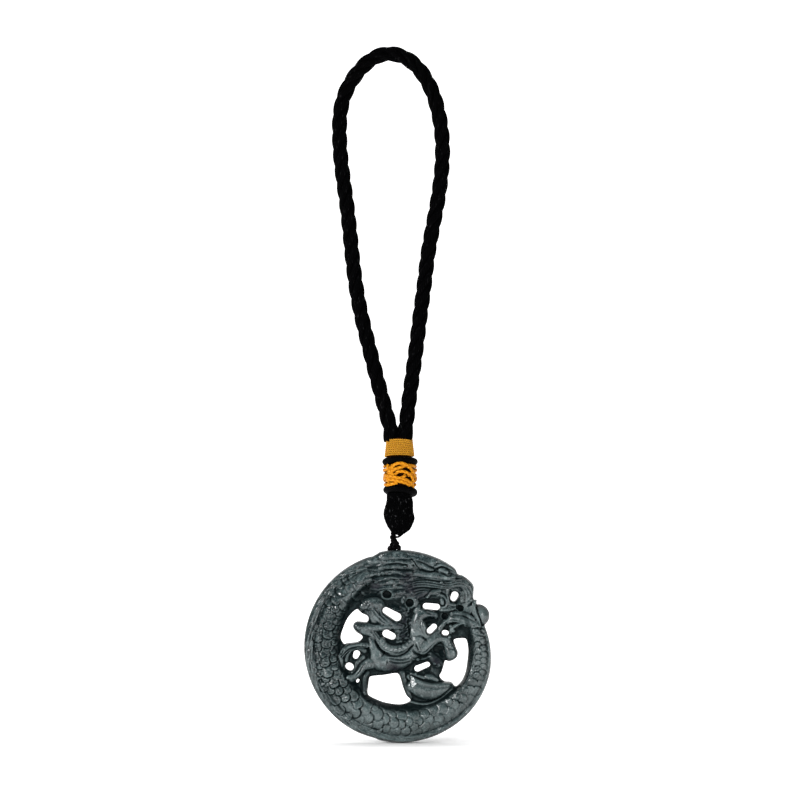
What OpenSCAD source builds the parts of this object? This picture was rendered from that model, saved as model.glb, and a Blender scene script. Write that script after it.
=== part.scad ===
// Carved jade pendant on a black loop.
// A flat round of jade, pierced and carved: a scaled dragon lies round the rim with its head at
// the top right, and holds a horse, cloud scrolls and a boat-shaped ingot in the middle.
// It hangs by a thin doubled cord from a knob, a gold knot between two cord rings, a gold
// winding and one large loop of rope. The origin is the point that the loop hangs from.

/* [Jade disc] */
// Diameter of the carved disc
disc_d = 57.6; // [48:0.2:70]
// Greatest thickness of the disc, from front to back
disc_t = 9; // [7:0.2:12]
// Thickness of the pierced web between the figures
web_t = 4.4; // [3.2:0.2:5.6]
// Width of the plain rim outside the scales
rim_w = 3; // [2:0.1:4]
// Length of one scale of the dragon
scale_l = 3; // [2.6:0.1:4]
// Height of a scale's free tip above the body
scale_h = 0.45; // [0.3:0.05:0.7]
// Diameter of the pearl behind the dragon's chin
pearl_d = 6.8; // [5:0.1:8]
// Width of the worked edge round the head's raised plate
plate_bevel = 0.9; // [0.5:0.1:1.5]

/* [Hanger cord] */
// Diameter of one strand of the hanger cord
hanger_d = 1.2; // [0.9:0.05:1.5]
// Free length of the hanger between the knob and the disc's edge
hanger_free = 3.3; // [2.4:0.1:8]
// Distance between the two mouths of the tunnel in the disc's edge
tunnel_spread = 3.2; // [3:0.1:4.6]
// Depth of the tunnel under the disc's edge
tunnel_depth = 4.4; // [4:0.1:6]
// Clear room round a strand in the tunnel and in the knob
strand_gap = 0.15; // [0.1:0.05:0.25]
// Length of the hanger inside the knob
hanger_in = 4.6; // [4:0.1:6]

/* [Knots] */
// Width of the black knob
knob_d = 9.4; // [8.4:0.1:12]
// Height of the black knob
knob_h = 12.6; // [10:0.1:16]
// Outer width of the two black cord rings
ring_d = 10.9; // [10.2:0.1:13]
// Thickness of the upper ring's cord
upper_ring_h = 2.5; // [1.8:0.1:3.2]
// Thickness of the lower ring's cord
lower_ring_h = 2.8; // [1.8:0.1:3.2]
// Outer width of the gold knot
gold_d = 10.6; // [9.8:0.1:12.6]
// Height of the gold knot
gold_h = 6.5; // [5:0.1:9]
// Thickness of the gold knot's cord
gold_cord = 1; // [0.7:0.1:1.4]

/* [Gold winding] */
// Width of the winding, over both legs of the loop
wrap_w = 9.2; // [8.8:0.1:11]
// Depth of the winding, from front to back
wrap_t = 6.4; // [5:0.1:8]
// Height of the winding
wrap_h = 5.8; // [4:0.1:9]

/* [Loop cord] */
// Diameter of the loop's rope
cord_d = 4.3; // [3:0.1:4.4]

/* [Hidden] */

// Units of the carving's tables: a hundredth of the disc's radius, and of its half thickness
u = disc_d / 200;
h = disc_t / 200;
// Half the web's thickness, in the second unit
web = web_t / 2 / h;

// The loop's route, along the middle of the rope, from the winding up the left leg and back.
// The rows are x and z in millimetres, and the rope lies in the plane y = 0.
cord_route = [
  [-1.9, -113], [-1.9, -111.5], [-2.6, -108.5], [-5.2, -99.5], [-7.4, -91], [-9.4, -83], [-11.3, -75],
  [-12.7, -67], [-13.7, -59], [-14.5, -51], [-15.4, -43], [-16.5, -35], [-17.3, -28],
  [-17.6, -21], [-17.3, -15], [-16, -9.8], [-13.8, -5.5], [-11, -1.9], [-8, 0.7], [-4.6, 2.2],
  [-1, 2.3], [2.6, 1], [5.8, -1.6], [8.5, -5.3], [10.7, -10], [12.2, -15.5], [13.1, -21],
  [13.4, -27], [13, -34], [11.9, -42], [10.4, -50], [9, -58], [7.9, -67], [6.7, -76],
  [5.6, -85], [4.4, -94], [3.3, -102], [2.6, -108.5], [2.5, -111.5], [2.5, -113]];

// Heights of the faces where the pieces meet, from the rope's end down
wrap_z = cord_route[0][1] - wrap_h;
upper_z = wrap_z - upper_ring_h;
gold_z = upper_z - gold_h;
lower_z = gold_z - lower_ring_h;
knob_z = lower_z - knob_h;
edge_z = knob_z - hanger_free;
// The disc's centre: its top edge is a little over one radius above it
edge_top = 101;
disc_z = edge_z - edge_top * u;
// Sideways places of the knots' axis and of the hanger, from the line under the hook
neck_x = 0.6;
hanger_x = -1;

// The disc's outline about its own centre: angle, and radius in hundredths of the disc's radius
outline_centre = [1, -1];
outline = [[-180, 100], [-105, 99], [-99, 101.5], [-76, 102], [-70, 100], [-25, 99.5], [-10, 98],
           [0, 95.5], [10, 93], [16, 88], [26, 88], [29, 92.5], [35, 95], [40, 101], [48, 101],
           [50, 99], [54, 101], [85, 102], [100, 102], [106, 100.5], [180, 100]];
// The ring's inner circle: centre and radius
inner_centre = [7, 5];
inner_r = 67;
// How far the web runs on under the ring
web_under = 4;

// The ring's section from the outer edge to the inner one.
// The rows are the share of the way across the rim, then across the body, and the height.
ring_section = [[0, 0, 36], [30, 0, 50], [90, 0, 60], [100, 0, 58], [100, 8, 80], [100, 30, 99],
                [100, 56, 98], [100, 80, 76], [100, 93, 50], [100, 100, 42]];

// How high the ring is at each angle, as a share: it runs out under the mane and the head
ring_swell = [[-180, 100], [6, 100], [14, 64], [100, 64], [118, 100], [180, 100]];

// Figures raised from the web, front and back alike, each a run of oval sections.
// The rows are x, z, half the width, and half the depth.
horse = [
  // body, chest, neck and head
  [[-21, -13, 13, 84], [-10, -15, 14, 92], [3, -13, 14, 92], [14, -7, 12, 92], [17, 5, 11, 92],
   [18, 18, 9, 90], [21, 29, 8, 90], [28, 33, 7, 88], [36, 31, 5, 80]],
  // ear
  [[20, 36, 3, 84], [22, 42, 2, 72]],
  // mane
  [[7, 4, 6, 68], [8, 17, 6, 74], [11, 29, 6, 74], [15, 39, 5, 68]],
  // saddle
  [[-19, 6, 5, 88], [-12, -1, 5, 96], [-3, -4, 5, 99], [5, -3, 5, 98], [11, 2, 5, 94]],
  // saddle cloth
  [[-28, 10, 4, 84], [-22, -2, 4, 94], [-12, -10, 4, 98], [-1, -13, 4, 99], [9, -11, 4, 98],
   [15, -5, 4, 94]],
  // raised foreleg
  [[23, -3, 7, 94], [32, 0, 7, 94], [40, 5, 6, 92], [47, 6, 6, 92], [53, 1, 6, 88],
   [55, -6, 7, 84], [56, -9, 6, 78]],
  // far foreleg
  [[32, -9, 6, 66], [41, -15, 6, 70], [44, -23, 5, 68], [40, -31, 5, 66]],
  // hind leg
  [[-27, -18, 8, 82], [-37, -23, 5, 80], [-45, -31, 5, 76], [-48, -38, 5, 70]],
  // far hind leg
  [[-32, -27, 5, 70], [-34, -38, 4, 68], [-35, -50, 4, 64]],
  // tail
  [[-30, -4, 6, 78], [-41, -1, 5, 76], [-53, -3, 5, 74], [-61, -12, 5, 68]],
  [[-35, -13, 4, 70], [-46, -16, 4, 68], [-57, -14, 5, 70]],
  [[-38, -26, 4, 66], [-49, -31, 4, 68], [-60, -27, 5, 68]]];

clouds = [
  [[-34, 45, 6, 76], [-25, 43, 10, 86], [-19, 34, 7, 86], [-10, 26, 5, 84], [2, 21, 4, 74]],
  [[-42, 20, 6, 76], [-32, 19, 8, 90], [-24, 14, 8, 90], [-19, 5, 5, 82]],
  [[-26, 28, 7, 80], [-15, 21, 6, 80], [-3, 19, 5, 74]],
  [[48, 25, 4, 72], [43, 19, 4, 74], [38, 10, 4, 68]]];

ingot = [
  // near wall of the bowl
  [[17, -42, 7, 76], [24, -46, 9, 90], [34, -49, 9, 94], [45, -48, 7, 88], [54, -44, 4, 74]],
  // rim
  [[13, -30, 3, 80], [20, -35, 4, 94], [30, -39, 4, 99], [42, -41, 4, 98], [57, -42, 3, 84]],
  // middle hump
  [[24, -33, 5, 70], [34, -31, 7, 84], [43, -35, 5, 74]],
  // wall to the left
  [[3, -28, 5, 64], [7, -43, 5, 66], [14, -57, 5, 62]]];

head = [
  // snout
  [[57, 68, 10, 88], [69, 62, 11, 96], [73, 52, 7, 92], [71, 43, 6, 80]],
  // brow and eye
  [[34, 82, 6, 92], [47, 82, 8, 100], [57, 77, 6, 92]],
  // ear
  [[17, 88, 4, 88], [27, 84, 5, 96], [36, 79, 4, 88]],
  // lips
  [[14, 66, 4, 88], [29, 70, 5, 94], [44, 67, 5, 94], [56, 67, 4, 90], [66, 71, 4, 86]],
  [[15, 57, 4, 84], [30, 62, 4, 92], [44, 60, 4, 92], [54, 60, 4, 86]],
  // jaw
  [[29, 52, 5, 80], [37, 55, 5, 88], [46, 52, 5, 90], [51, 46, 4, 88], [47, 40, 4, 76]],
  // forelimb, behind the chin
  [[50, 30, 6, 84], [62, 28, 8, 94], [75, 24, 9, 94], [85, 18, 6, 84]],
  // fin
  [[80, 45, 4, 80], [79, 35, 6, 90], [83, 24, 5, 86]]];

mane = [
  [[18, 88, 4, 86], [0, 90, 5, 90], [-17, 88, 5, 88], [-34, 82, 4, 78]],
  [[16, 79, 5, 90], [0, 82, 5, 96], [-17, 80, 5, 94], [-37, 74, 5, 80]],
  [[12, 72, 5, 90], [-3, 74, 5, 96], [-20, 71, 5, 92], [-38, 65, 5, 80]],
  [[10, 64, 5, 88], [-4, 66, 5, 92], [-19, 62, 5, 88], [-33, 57, 4, 76]],
  [[13, 56, 4, 84], [1, 58, 5, 88], [-8, 60, 4, 84]]];

// The head's raised plate, its height, and how far its worked edge lies under its top
head_plate = [[-36, 60], [-20, 57], [-16, 50], [-6, 49], [6, 50], [12, 41], [24, 44], [30, 46],
              [44, 46], [50, 36], [62, 34], [76, 30], [82, 45], [79, 49], [79.5, 59],
              [73, 70], [62, 75], [60, 80], [42, 91], [18, 98], [0, 100], [-11, 100],
              [-25, 94], [-40, 78]];
plate_h = 76;
plate_step = 14;

// Gaps that go right through. The large ones are outlines.
gaps = [
  // left of the clouds
  [[-56, 2], [-60, 9], [-57, 20], [-51, 31], [-43, 38], [-37, 34], [-31, 31], [-31, 28],
   [-34, 25], [-42, 26], [-47, 21], [-43, 15], [-37, 10], [-37, 8], [-43, 4], [-53, 3]],
  // right of the raised foreleg
  [[58, 5], [60, 7], [64, 8], [69, 8], [72, 6], [73, 3], [73.5, -4], [73, -14], [71, -24],
   [69, -31], [67, -34], [60, -42], [56, -39], [48, -37], [43, -32], [45, -28], [47, -24],
   [49, -17], [50, -15], [53, -16], [60, -13], [62, -7], [60, 1]],
  // under the belly
  [[-30, -34], [-28, -32], [-17, -31], [-3, -28], [0, -29], [3, -35], [6, -45], [12, -56],
   [12, -58], [3, -61], [-7, -60], [-17, -58], [-30, -52], [-32, -49], [-31, -40]]];
gap_round = 1;
// The small ones are slots. The rows are x, z and radius at one end, then at the other.
slots = [
  [-12, 37, 3.5, -1, 30, 4], [-12, 13, 4, -6, 10, 3.5], [29, 42, 3, 40, 41, 3.2],
  [57.5, 49, 3, 60, 53.5, 3.5], [38, 20.5, 3, 33, 15.5, 3], [49, 14, 2.7, 50, 13.5, 2.6],
  [20.5, -23.5, 3.3, 30.5, -19.5, 2.8], [-43.3, -8, 3.3, -44, -10.5, 2.7],
  [-51, -21, 3.7, -50.5, -22, 3.6], [-42, -36, 1.4, -42.3, -37.3, 1.3]];
// Pits that are drilled from the front and don't come through: x, z, radius and floor height
pits = [[-11.5, 54, 4, 20], [12.5, 45, 4, 20], [49, 30.5, 3.5, 20], [64.5, 39.5, 3.5, 24],
        [43, -4, 5, 30]];

// The pearl's centre
pearl_at = [83.5, 31.5];

// How many straight sides stand for a round form
round_sides = 60;
small_sides = 12;
tube_sides = 8;
rope_sides = 10;
pearl_sides = 16;
ring_steps = 60;
// Extra length that a cut runs past the surface
over = 1;

function unit(v) = v / norm(v);
function mix(a, b, t) = a + (b - a) * t;

// The direction of a path at one of its points
function along(path, i) =
  unit(path[min(i + 1, len(path) - 1)] - path[max(i - 1, 0)]);

// One oval section of a tube: its width lies across the path, and its depth along y.
// The first corner is in front, so the full depth is there.
function oval(path, i, w, d, sides) =
  let (t = along(path, i), side = unit(cross(t, [0, 1, 0])), up = cross(side, t))
  [for (k = [0 : sides - 1])
    path[i] + side * w * sin(360 * k / sides) - up * d * cos(360 * k / sides)];

// The triangles of a skin over rings of points that follow each other, with both ends shut
function skin(rings, sides) = concat(
  [[for (k = [sides - 1 : -1 : 0]) k]],
  [for (i = [0 : rings - 2], k = [0 : sides - 1])
    let (a = i * sides, n = (k + 1) % sides) [a + k, a + n, a + sides + k]],
  [for (i = [0 : rings - 2], k = [0 : sides - 1])
    let (a = i * sides, n = (k + 1) % sides) [a + n, a + sides + n, a + sides + k]],
  [[for (k = [0 : sides - 1]) (rings - 1) * sides + k]]);

// A tube of oval sections along a path, with the half widths and half depths of each section
module tube(path, widths, depths, sides) {
  rings = [for (i = [0 : len(path) - 1]) oval(path, i, widths[i], depths[i], sides)];
  points = [for (r = rings) each r];
  polyhedron(points, skin(len(path), sides), convexity = 6);
}

// A raised figure of the carving: its ends run out and get smaller
module figure(rows) {
  end_run = 0.7;
  end_size = 0.45;
  last = len(rows) - 1;
  places = [for (r = rows) [r[0] * u, 0, r[1] * u]];
  first_dir = unit(places[0] - places[1]);
  last_dir = unit(places[last] - places[last - 1]);
  path = concat([places[0] + first_dir * rows[0][2] * u * end_run], places,
                [places[last] + last_dir * rows[last][2] * u * end_run]);
  widths = concat([rows[0][2] * u * end_size], [for (r = rows) r[2] * u],
                  [rows[last][2] * u * end_size]);
  depths = concat([rows[0][3] * h * end_size], [for (r = rows) r[3] * h],
                  [rows[last][3] * h * end_size]);
  tube(path, widths, depths, tube_sides);
}

// An angle from 0 to 540 degrees, told from -180 to 180
function signed(a) = a > 180 ? a - 360 : a;

// The ring's outer and inner radius at an angle about the outline's centre, in millimetres
function outer_at(a) = lookup(signed(a), outline) * u;
function inner_at(a) =
  let (off = (inner_centre - outline_centre) * u, way = [cos(a), sin(a)], r = inner_r * u,
       run = off * way, rest = off * off - run * run)
  run + sqrt(r * r - rest);

// A point on the ring: angle, distance in from the outer edge as the section says, and depth
function ring_radius(a, row) =
  let (out = outer_at(a), body = out - rim_w - inner_at(a))
  out - row[0] / 100 * rim_w - row[1] / 100 * body;
function ring_point(a, r, y) =
  [outline_centre[0] * u + r * cos(a), y, outline_centre[1] * u + r * sin(a)];

// The plain ring of the dragon's body, with its rim
module dragon_ring() {
  rows = len(ring_section);
  sides = 2 * rows;
  points = [for (s = [0 : ring_steps - 1])
    let (a = 360 * s / ring_steps, swell = lookup(signed(a), ring_swell) / 100) each concat(
    [for (row = ring_section) ring_point(a, ring_radius(a, row), -row[2] * h * swell)],
    [for (k = [rows - 1 : -1 : 0]) let (row = ring_section[k])
      ring_point(a, ring_radius(a, row), row[2] * h * swell)])];
  faces = [for (s = [0 : ring_steps - 1], k = [0 : sides - 1])
    let (a = s * sides, b = ((s + 1) % ring_steps) * sides, n = (k + 1) % sides)
    each [[a + k, a + n, b + k], [a + n, b + n, b + k]]];
  polyhedron(points, faces, convexity = 8);
}

// The body's height at a share of the way across it, in millimetres
body_heights = [for (row = ring_section) if (row[0] == 100 && row[1] > 0) [row[1], row[2]]];
function body_height(share) = lookup(share, body_heights) * h;

// One scale of the front face: its root is sunk in the body, and its free tip stands above it.
// The corners are the root, both sides, the tip and the foot under it, and the rows are the
// shares of the scale's turn, of its width and of its tip's height.
scale_corners = [[-0.7, 0, -0.6], [0, -0.5, -0.2], [0, 0.5, -0.2], [0.5, 0, 1], [0.3, 0, -3]];
module dragon_scale(a, share, width, turn) {
  function spot(c) =
    let (s = share + c[1] * width, out = outer_at(a) - rim_w,
         r = out - s / 100 * (out - inner_at(a)))
    ring_point(a + c[0] * turn, r, -body_height(s) - c[2] * scale_h);
  points = [for (c = scale_corners) spot(c)];
  faces = [[0, 1, 3], [0, 3, 2], [1, 4, 3], [3, 4, 2], [0, 2, 4], [0, 4, 1]];
  polyhedron(points, [for (f = faces) [f[2], f[1], f[0]]], convexity = 2);
}

// Rows of scales on the dragon's body, staggered, from behind the mane round to its tail.
// The length of a scale sets the turn from one to the next, measured on the body's middle.
scale_from = 118;
scale_to = 368;
scale_rows = 3;
// The shares of the body's width that the scales leave bare outside and inside
scale_edge = 8;
scale_bare = 14;
module dragon_scales() {
  middle = (outer_at(180) - rim_w + inner_at(180)) / 2;
  step = scale_l / middle * 180 / PI;
  width = (100 - scale_edge - scale_bare) / scale_rows;
  for (row = [0 : scale_rows - 1], a = [scale_from + (row % 2) * step / 2 : step : scale_to])
    dragon_scale(a, scale_edge + width * (row + 0.5), width, step);
}

// A flat plate of the carving from an outline, to a height on both faces
module plate(half_depth) {
  rotate([90, 0, 0]) linear_extrude(2 * half_depth * h, center = true) children();
}

module web_plate() {
  plate(web) translate(inner_centre * u) circle((inner_r + web_under) * u, $fn = ring_steps);
}

module head_plates() {
  plate(plate_h - plate_step) polygon(head_plate * u);
  plate(plate_h) offset(delta = -plate_bevel) polygon(head_plate * u);
}

module pearl() {
  translate([pearl_at[0] * u, 0, pearl_at[1] * u]) rotate([90, 0, 0])
    sphere(d = pearl_d, $fn = pearl_sides);
}

// Everything that is cut right through the stone
module openings() {
  plate(100 + over / h) {
    for (g = gaps)
      offset(gap_round * u, $fn = small_sides) offset(delta = -gap_round * u) polygon(g * u);
    for (s = slots) hull() {
      translate([s[0], s[1]] * u) circle(s[2] * u, $fn = small_sides);
      translate([s[3], s[4]] * u) circle(s[5] * u, $fn = small_sides);
    }
  }
}

module drilled_pits() {
  for (p = pits)
    translate([p[0] * u, -p[3] * h, p[1] * u]) rotate([90, 0, 0])
      cylinder(h = disc_t, r = p[2] * u, $fn = small_sides);
}

// The hanger's strand: down out of the knob, across in front, into the jade and round a turn
// there, then back up the same way behind. Its first points are in the knob, the next in the
// open, and the last three are in the stone.
strand_half = hanger_d / 2 + strand_gap / 2;
turn_half = strand_half + strand_gap / 2;
turn_z = edge_z - tunnel_depth;
hanger_above = [
  [-strand_half, 0, knob_z + hanger_in],
  [-strand_half, 0, knob_z + hanger_d],
  [-strand_half * 0.7, -strand_half * 0.7, knob_z - hanger_free * 0.1],
  [strand_half * 0.2, -strand_half, knob_z - hanger_free * 0.4],
  [mix(turn_half, tunnel_spread / 2, 0.7), -strand_half * 0.5, knob_z - hanger_free * 0.72]];
hanger_inside = [
  [tunnel_spread / 2, 0, edge_z],
  [turn_half, 0, turn_z + turn_half * 1.2],
  [turn_half * 0.8, 0, turn_z + turn_half * 0.5]];
function back_again(points) = [for (k = [len(points) - 1 : -1 : 0])
  [-points[k][0], -points[k][1], points[k][2]]];
function turned(points) = concat(points, [[0, 0, turn_z]], back_again(points));
function at_hanger(points) = [for (p = points) p + [hanger_x, 0, 0]];

// The tunnel follows the strand through the stone, with clear room round it
module tunnel() {
  r = hanger_d / 2 + strand_gap;
  path = at_hanger(turned(hanger_inside));
  for (i = [1 : len(path) - 1]) hull() {
    translate(path[i - 1]) sphere(r, $fn = small_sides);
    translate(path[i]) sphere(r, $fn = small_sides);
  }
}

module jade_disc() {
  color([0.3, 0.38, 0.38]) difference() {
    translate([0, 0, disc_z]) difference() {
      union() {
        dragon_ring();
        dragon_scales();
        web_plate();
        head_plates();
        pearl();
        for (f = concat(horse, clouds, ingot, head, mane)) figure(f);
      }
      openings();
      drilled_pits();
    }
    tunnel();
  }
}

module hanger_cord() {
  path = at_hanger(turned(concat(hanger_above, hanger_inside)));
  halves = [for (p = path) hanger_d / 2];
  color([0.05, 0.05, 0.06]) tube(path, halves, halves, tube_sides);
}

// The knob's outline: radius and height, as shares of half its width and of its height
knob_profile = [[0, 100], [82, 100], [88, 90], [90, 78], [97, 64], [100, 52], [97, 42], [88, 32],
                [76, 22], [58, 12], [38, 4], [18, 0], [0, 0]];
module braided_knob() {
  color([0.05, 0.05, 0.06]) difference() {
    translate([neck_x, 0, knob_z]) rotate_extrude($fn = round_sides)
      polygon([for (p = knob_profile) [p[0] / 100 * knob_d / 2, p[1] / 100 * knob_h]]);
    translate([hanger_x, 0, knob_z - over])
      cylinder(h = hanger_in + over, r = strand_half + hanger_d / 2 + strand_gap, $fn = round_sides);
  }
}

// A ring of cord, drawn tight round the neck, so that its middle is filled
module cord_ring(z, height) {
  color([0.05, 0.05, 0.06]) translate([neck_x, 0, z]) rotate_extrude($fn = round_sides) {
    translate([ring_d / 2 - height / 2, height / 2]) circle(d = height, $fn = round_sides);
    square([ring_d / 2 - height / 2, height]);
  }
}

module lower_ring() cord_ring(lower_z, lower_ring_h);

module upper_ring() cord_ring(upper_z, upper_ring_h);

// The gold knot: cords round a core, which is as wide as the knot less its cord.
// Its edges are rounded off as the first and last turns of the cord are.
module gold_knot() {
  outer = gold_d / 2;
  core = outer - gold_cord;
  shoulder = outer - gold_cord / 4;
  low = gold_cord / 2;
  full = gold_cord * 1.5;
  color([0.95, 0.65, 0.15]) translate([neck_x, 0, gold_z]) rotate_extrude($fn = round_sides)
    polygon([[0, 0], [core, 0], [shoulder, low], [outer, full], [outer, gold_h - full],
             [shoulder, gold_h - low], [core, gold_h], [0, gold_h]]);
}

// The winding: flat in the middle and round at the sides, as it goes round two legs
module gold_wrap() {
  reach = wrap_w / 2 - wrap_t / 2;
  color([0.85, 0.62, 0.2]) translate([neck_x, 0, wrap_z]) {
    for (side = [-1, 1])
      translate([side * reach, 0, 0]) cylinder(h = wrap_h, d = wrap_t, $fn = round_sides);
    translate([-reach, -wrap_t / 2, 0]) cube([2 * reach, wrap_t, wrap_h]);
  }
}

module loop_cord() {
  path = [for (p = cord_route) [p[0], 0, p[1]]];
  halves = [for (p = cord_route) cord_d / 2];
  color([0.04, 0.04, 0.05]) tube(path, halves, halves, rope_sides);
}

jade_disc();
hanger_cord();
braided_knob();
lower_ring();
gold_knot();
upper_ring();
gold_wrap();
loop_cord();
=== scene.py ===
"""A carved jade pendant on a black rope loop: finished geometry, materials, light and camera.

Lengths are in millimetres in the tables and in metres in Blender. The row's frame has X to the right,
Z up and the front face toward -Y, and its origin is the point that the loop hangs from.
"""
import math

import bmesh
import bpy
import numpy as np
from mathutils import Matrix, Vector


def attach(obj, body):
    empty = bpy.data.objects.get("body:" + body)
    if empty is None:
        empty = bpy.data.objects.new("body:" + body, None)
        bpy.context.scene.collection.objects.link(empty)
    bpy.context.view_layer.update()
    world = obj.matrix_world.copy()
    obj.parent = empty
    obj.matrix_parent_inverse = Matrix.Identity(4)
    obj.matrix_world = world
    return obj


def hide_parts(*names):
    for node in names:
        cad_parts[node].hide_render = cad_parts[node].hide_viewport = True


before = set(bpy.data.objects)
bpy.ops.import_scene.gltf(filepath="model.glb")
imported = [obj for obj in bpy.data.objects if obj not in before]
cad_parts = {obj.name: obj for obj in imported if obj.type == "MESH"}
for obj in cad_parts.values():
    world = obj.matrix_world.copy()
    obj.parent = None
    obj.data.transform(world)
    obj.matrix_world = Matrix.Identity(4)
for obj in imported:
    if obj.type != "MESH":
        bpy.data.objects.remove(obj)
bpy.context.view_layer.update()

MM = 0.001
TURN = 2 * math.pi
scene = bpy.context.scene

# sizes that repeat the model's own
DISC_D, CORD_D, HANGER_FREE = 57.6, 4.3, 3.3
WRAP_TOP, WRAP_H, WRAP_W, WRAP_T = -113.0, 5.8, 9.2, 6.4
UPPER_H, GOLD_H, LOWER_H, KNOB_H = 2.5, 6.5, 2.8, 12.6
UPPER_Z = WRAP_TOP - WRAP_H
GOLD_TOP = UPPER_Z - UPPER_H
LOWER_TOP = GOLD_TOP - GOLD_H
KNOB_TOP = LOWER_TOP - LOWER_H
KNOB_Z = KNOB_TOP - KNOB_H
# the ring stands a hundredth past its circle at the top
DISC_Z = KNOB_Z - HANGER_FREE - 101 * DISC_D / 200
NECK_X = 0.6
# how far under the stone's middle the floor lies, and how far off and how high the camera stands
FLOOR_BELOW, VIEW_AWAY, VIEW_Z = 29.2, 1203.0, -101.7

# The rope's route: x and z, from the winding up the left leg, over the hook and back down
CORD_ROUTE = [
    [-2, -113], [-2, -111.8], [-2.1, -110.6], [-2.7, -108.7], [-5.2, -99.5], [-7.4, -91], [-9.4, -83],
    [-11.3, -75], [-12.7, -67], [-13.7, -59], [-14.5, -51], [-15.4, -43], [-16.5, -35], [-17.3, -28],
    [-17.6, -21], [-17.3, -15], [-16, -9.8], [-13.8, -5.5], [-11, -1.9], [-8, .7], [-4.6, 2.2], [-1, 2.3],
    [2.6, 1], [5.8, -1.6], [8.5, -5.3], [10.7, -10], [12.2, -15.5], [13.1, -21], [13.4, -27], [13, -34],
    [11.9, -42], [10.4, -50], [9, -58], [7.9, -67], [6.7, -76], [5.6, -85], [4.4, -94], [3.3, -102],
    [2.5, -108.7], [2.2, -110.4], [2.1, -111.6], [2.1, -113]]


# small helpers
def smooth(points, step=0.3, closed=False):
    """A smooth line through given points, with any further values carried along."""
    p = np.array(points, float)
    # three values are a place in space; of more, the first two are a place in the plane
    places = 3 if p.shape[1] == 3 else 2
    if closed:
        run = np.vstack([p[-1:], p, p[:2]])
    else:
        run = np.vstack([2 * p[:1] - p[1:2], p, 2 * p[-1:] - p[-2:-1]])
    rows = []
    for a, b, c, d in zip(run, run[1:], run[2:], run[3:]):
        m = max(1, int(np.linalg.norm((c - b)[:places]) / step))
        t = (np.arange(m) / m)[:, None]
        rows.append(0.5 * (2 * b + (c - a) * t + (2 * a - 5 * b + 4 * c - d) * t * t
                           + (3 * b - 3 * c + d - a) * t ** 3))
    rows.append(p[:1] if closed else p[-1:])
    return np.vstack(rows)


def way(line):
    """How far along the line each of its points lies."""
    return np.concatenate([[0], np.cumsum(np.linalg.norm(np.diff(line, axis=0), axis=1))])


def even(line, step):
    """The same line with points at an even distance, and how far along each one lies."""
    s = way(line)
    t = np.linspace(0, s[-1], max(2, int(round(s[-1] / step)) + 1))
    return np.stack([np.interp(t, s, line[:, k]) for k in range(line.shape[1])], axis=1), t


def unit(vectors):
    return vectors / np.linalg.norm(vectors, axis=1, keepdims=True)


def heading(line):
    """The line's direction at each point."""
    return unit(np.gradient(line, axis=0))


def angles(n):
    """Even angles round a full turn."""
    return np.linspace(0, TURN, n, endpoint=False)


def wall(rings, sides, start=0, closed=False, down=False):
    """The faces between rings of points that follow each other upward, or else down."""
    faces = []
    for i in range(rings if closed else rings - 1):
        a, b = start + i * sides, start + (i + 1) % rings * sides
        for k in range(sides):
            m = (k + 1) % sides
            faces.append([a + k, b + k, b + m, a + m] if down else [a + k, a + m, b + m, b + k])
    return faces


def add_object(name, verts, faces, material, uv=None):
    """A smooth mesh object from points in millimetres."""
    mesh = bpy.data.meshes.new(name)
    mesh.from_pydata((np.asarray(verts) * MM).tolist(), [], [list(map(int, f)) for f in faces])
    mesh.update()
    if uv is not None:
        layer = mesh.uv_layers.new(name="UVMap")
        index = np.empty(len(mesh.loops), np.int32)
        mesh.loops.foreach_get("vertex_index", index)
        layer.data.foreach_set("uv", np.asarray(uv, np.float32)[index].ravel())
    mesh.polygons.foreach_set("use_smooth", [True] * len(mesh.polygons))
    mesh.materials.append(material)
    obj = bpy.data.objects.new(name, mesh)
    scene.collection.objects.link(obj)
    return obj


def tube(line, radius, sides=10, closed=False, start=0, up=(0, 1, 0)):
    """Points, faces and places of a round tube along a line. The radius may vary along it."""
    line = np.asarray(line, float)
    n = len(line)
    tangent = unit(np.roll(line, -1, axis=0) - np.roll(line, 1, axis=0)) if closed else heading(line)
    side = np.cross(tangent, np.array(up, float))
    weak = np.linalg.norm(side, axis=1) < 1e-3
    side[weak] = np.cross(tangent[weak], np.array([0.3, 0.2, 0.9]))
    side = unit(side)
    other = np.cross(side, tangent)
    a = angles(sides)
    r = np.broadcast_to(np.asarray(radius, float), (n,))[:, None]
    ring = (line[:, None, :] + (np.cos(a) * r)[..., None] * side[:, None, :]
            + (np.sin(a) * r)[..., None] * other[:, None, :])
    uv = np.stack([np.tile(a / TURN, n), np.repeat(way(line), sides)], axis=1)
    faces = wall(n, sides, start, closed)
    if not closed:
        faces.append([start + k for k in range(sides - 1, -1, -1)])
        faces.append([start + (n - 1) * sides + k for k in range(sides)])
    return ring.reshape(-1, 3), faces, uv


class Bundle:
    """Several tubes that become one object."""

    def __init__(self):
        self.verts, self.faces, self.uv, self.count = [], [], [], 0

    def add(self, *args, **kw):
        v, f, uv = tube(*args, start=self.count, **kw)
        self.verts.append(v)
        self.faces.extend(f)
        self.uv.append(uv)
        self.count += len(v)

    def lay(self, line, along, plies, out, turn, radius, side, other, start=0.0, **kw):
        """Plies laid round a line: how far out, the length of one turn, and the radius of one."""
        for k in range(plies):
            a = (TURN * (k / plies + along / turn) + start)[:, None]
            self.add(line + out * (np.cos(a) * side + np.sin(a) * other), radius, **kw)

    def object(self, name, material):
        return add_object(name, np.vstack(self.verts), self.faces, material, uv=np.vstack(self.uv))


def stands_for(piece, node):
    """A piece that takes a node's place and rides on the body."""
    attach(piece, "root")
    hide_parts(node)


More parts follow.
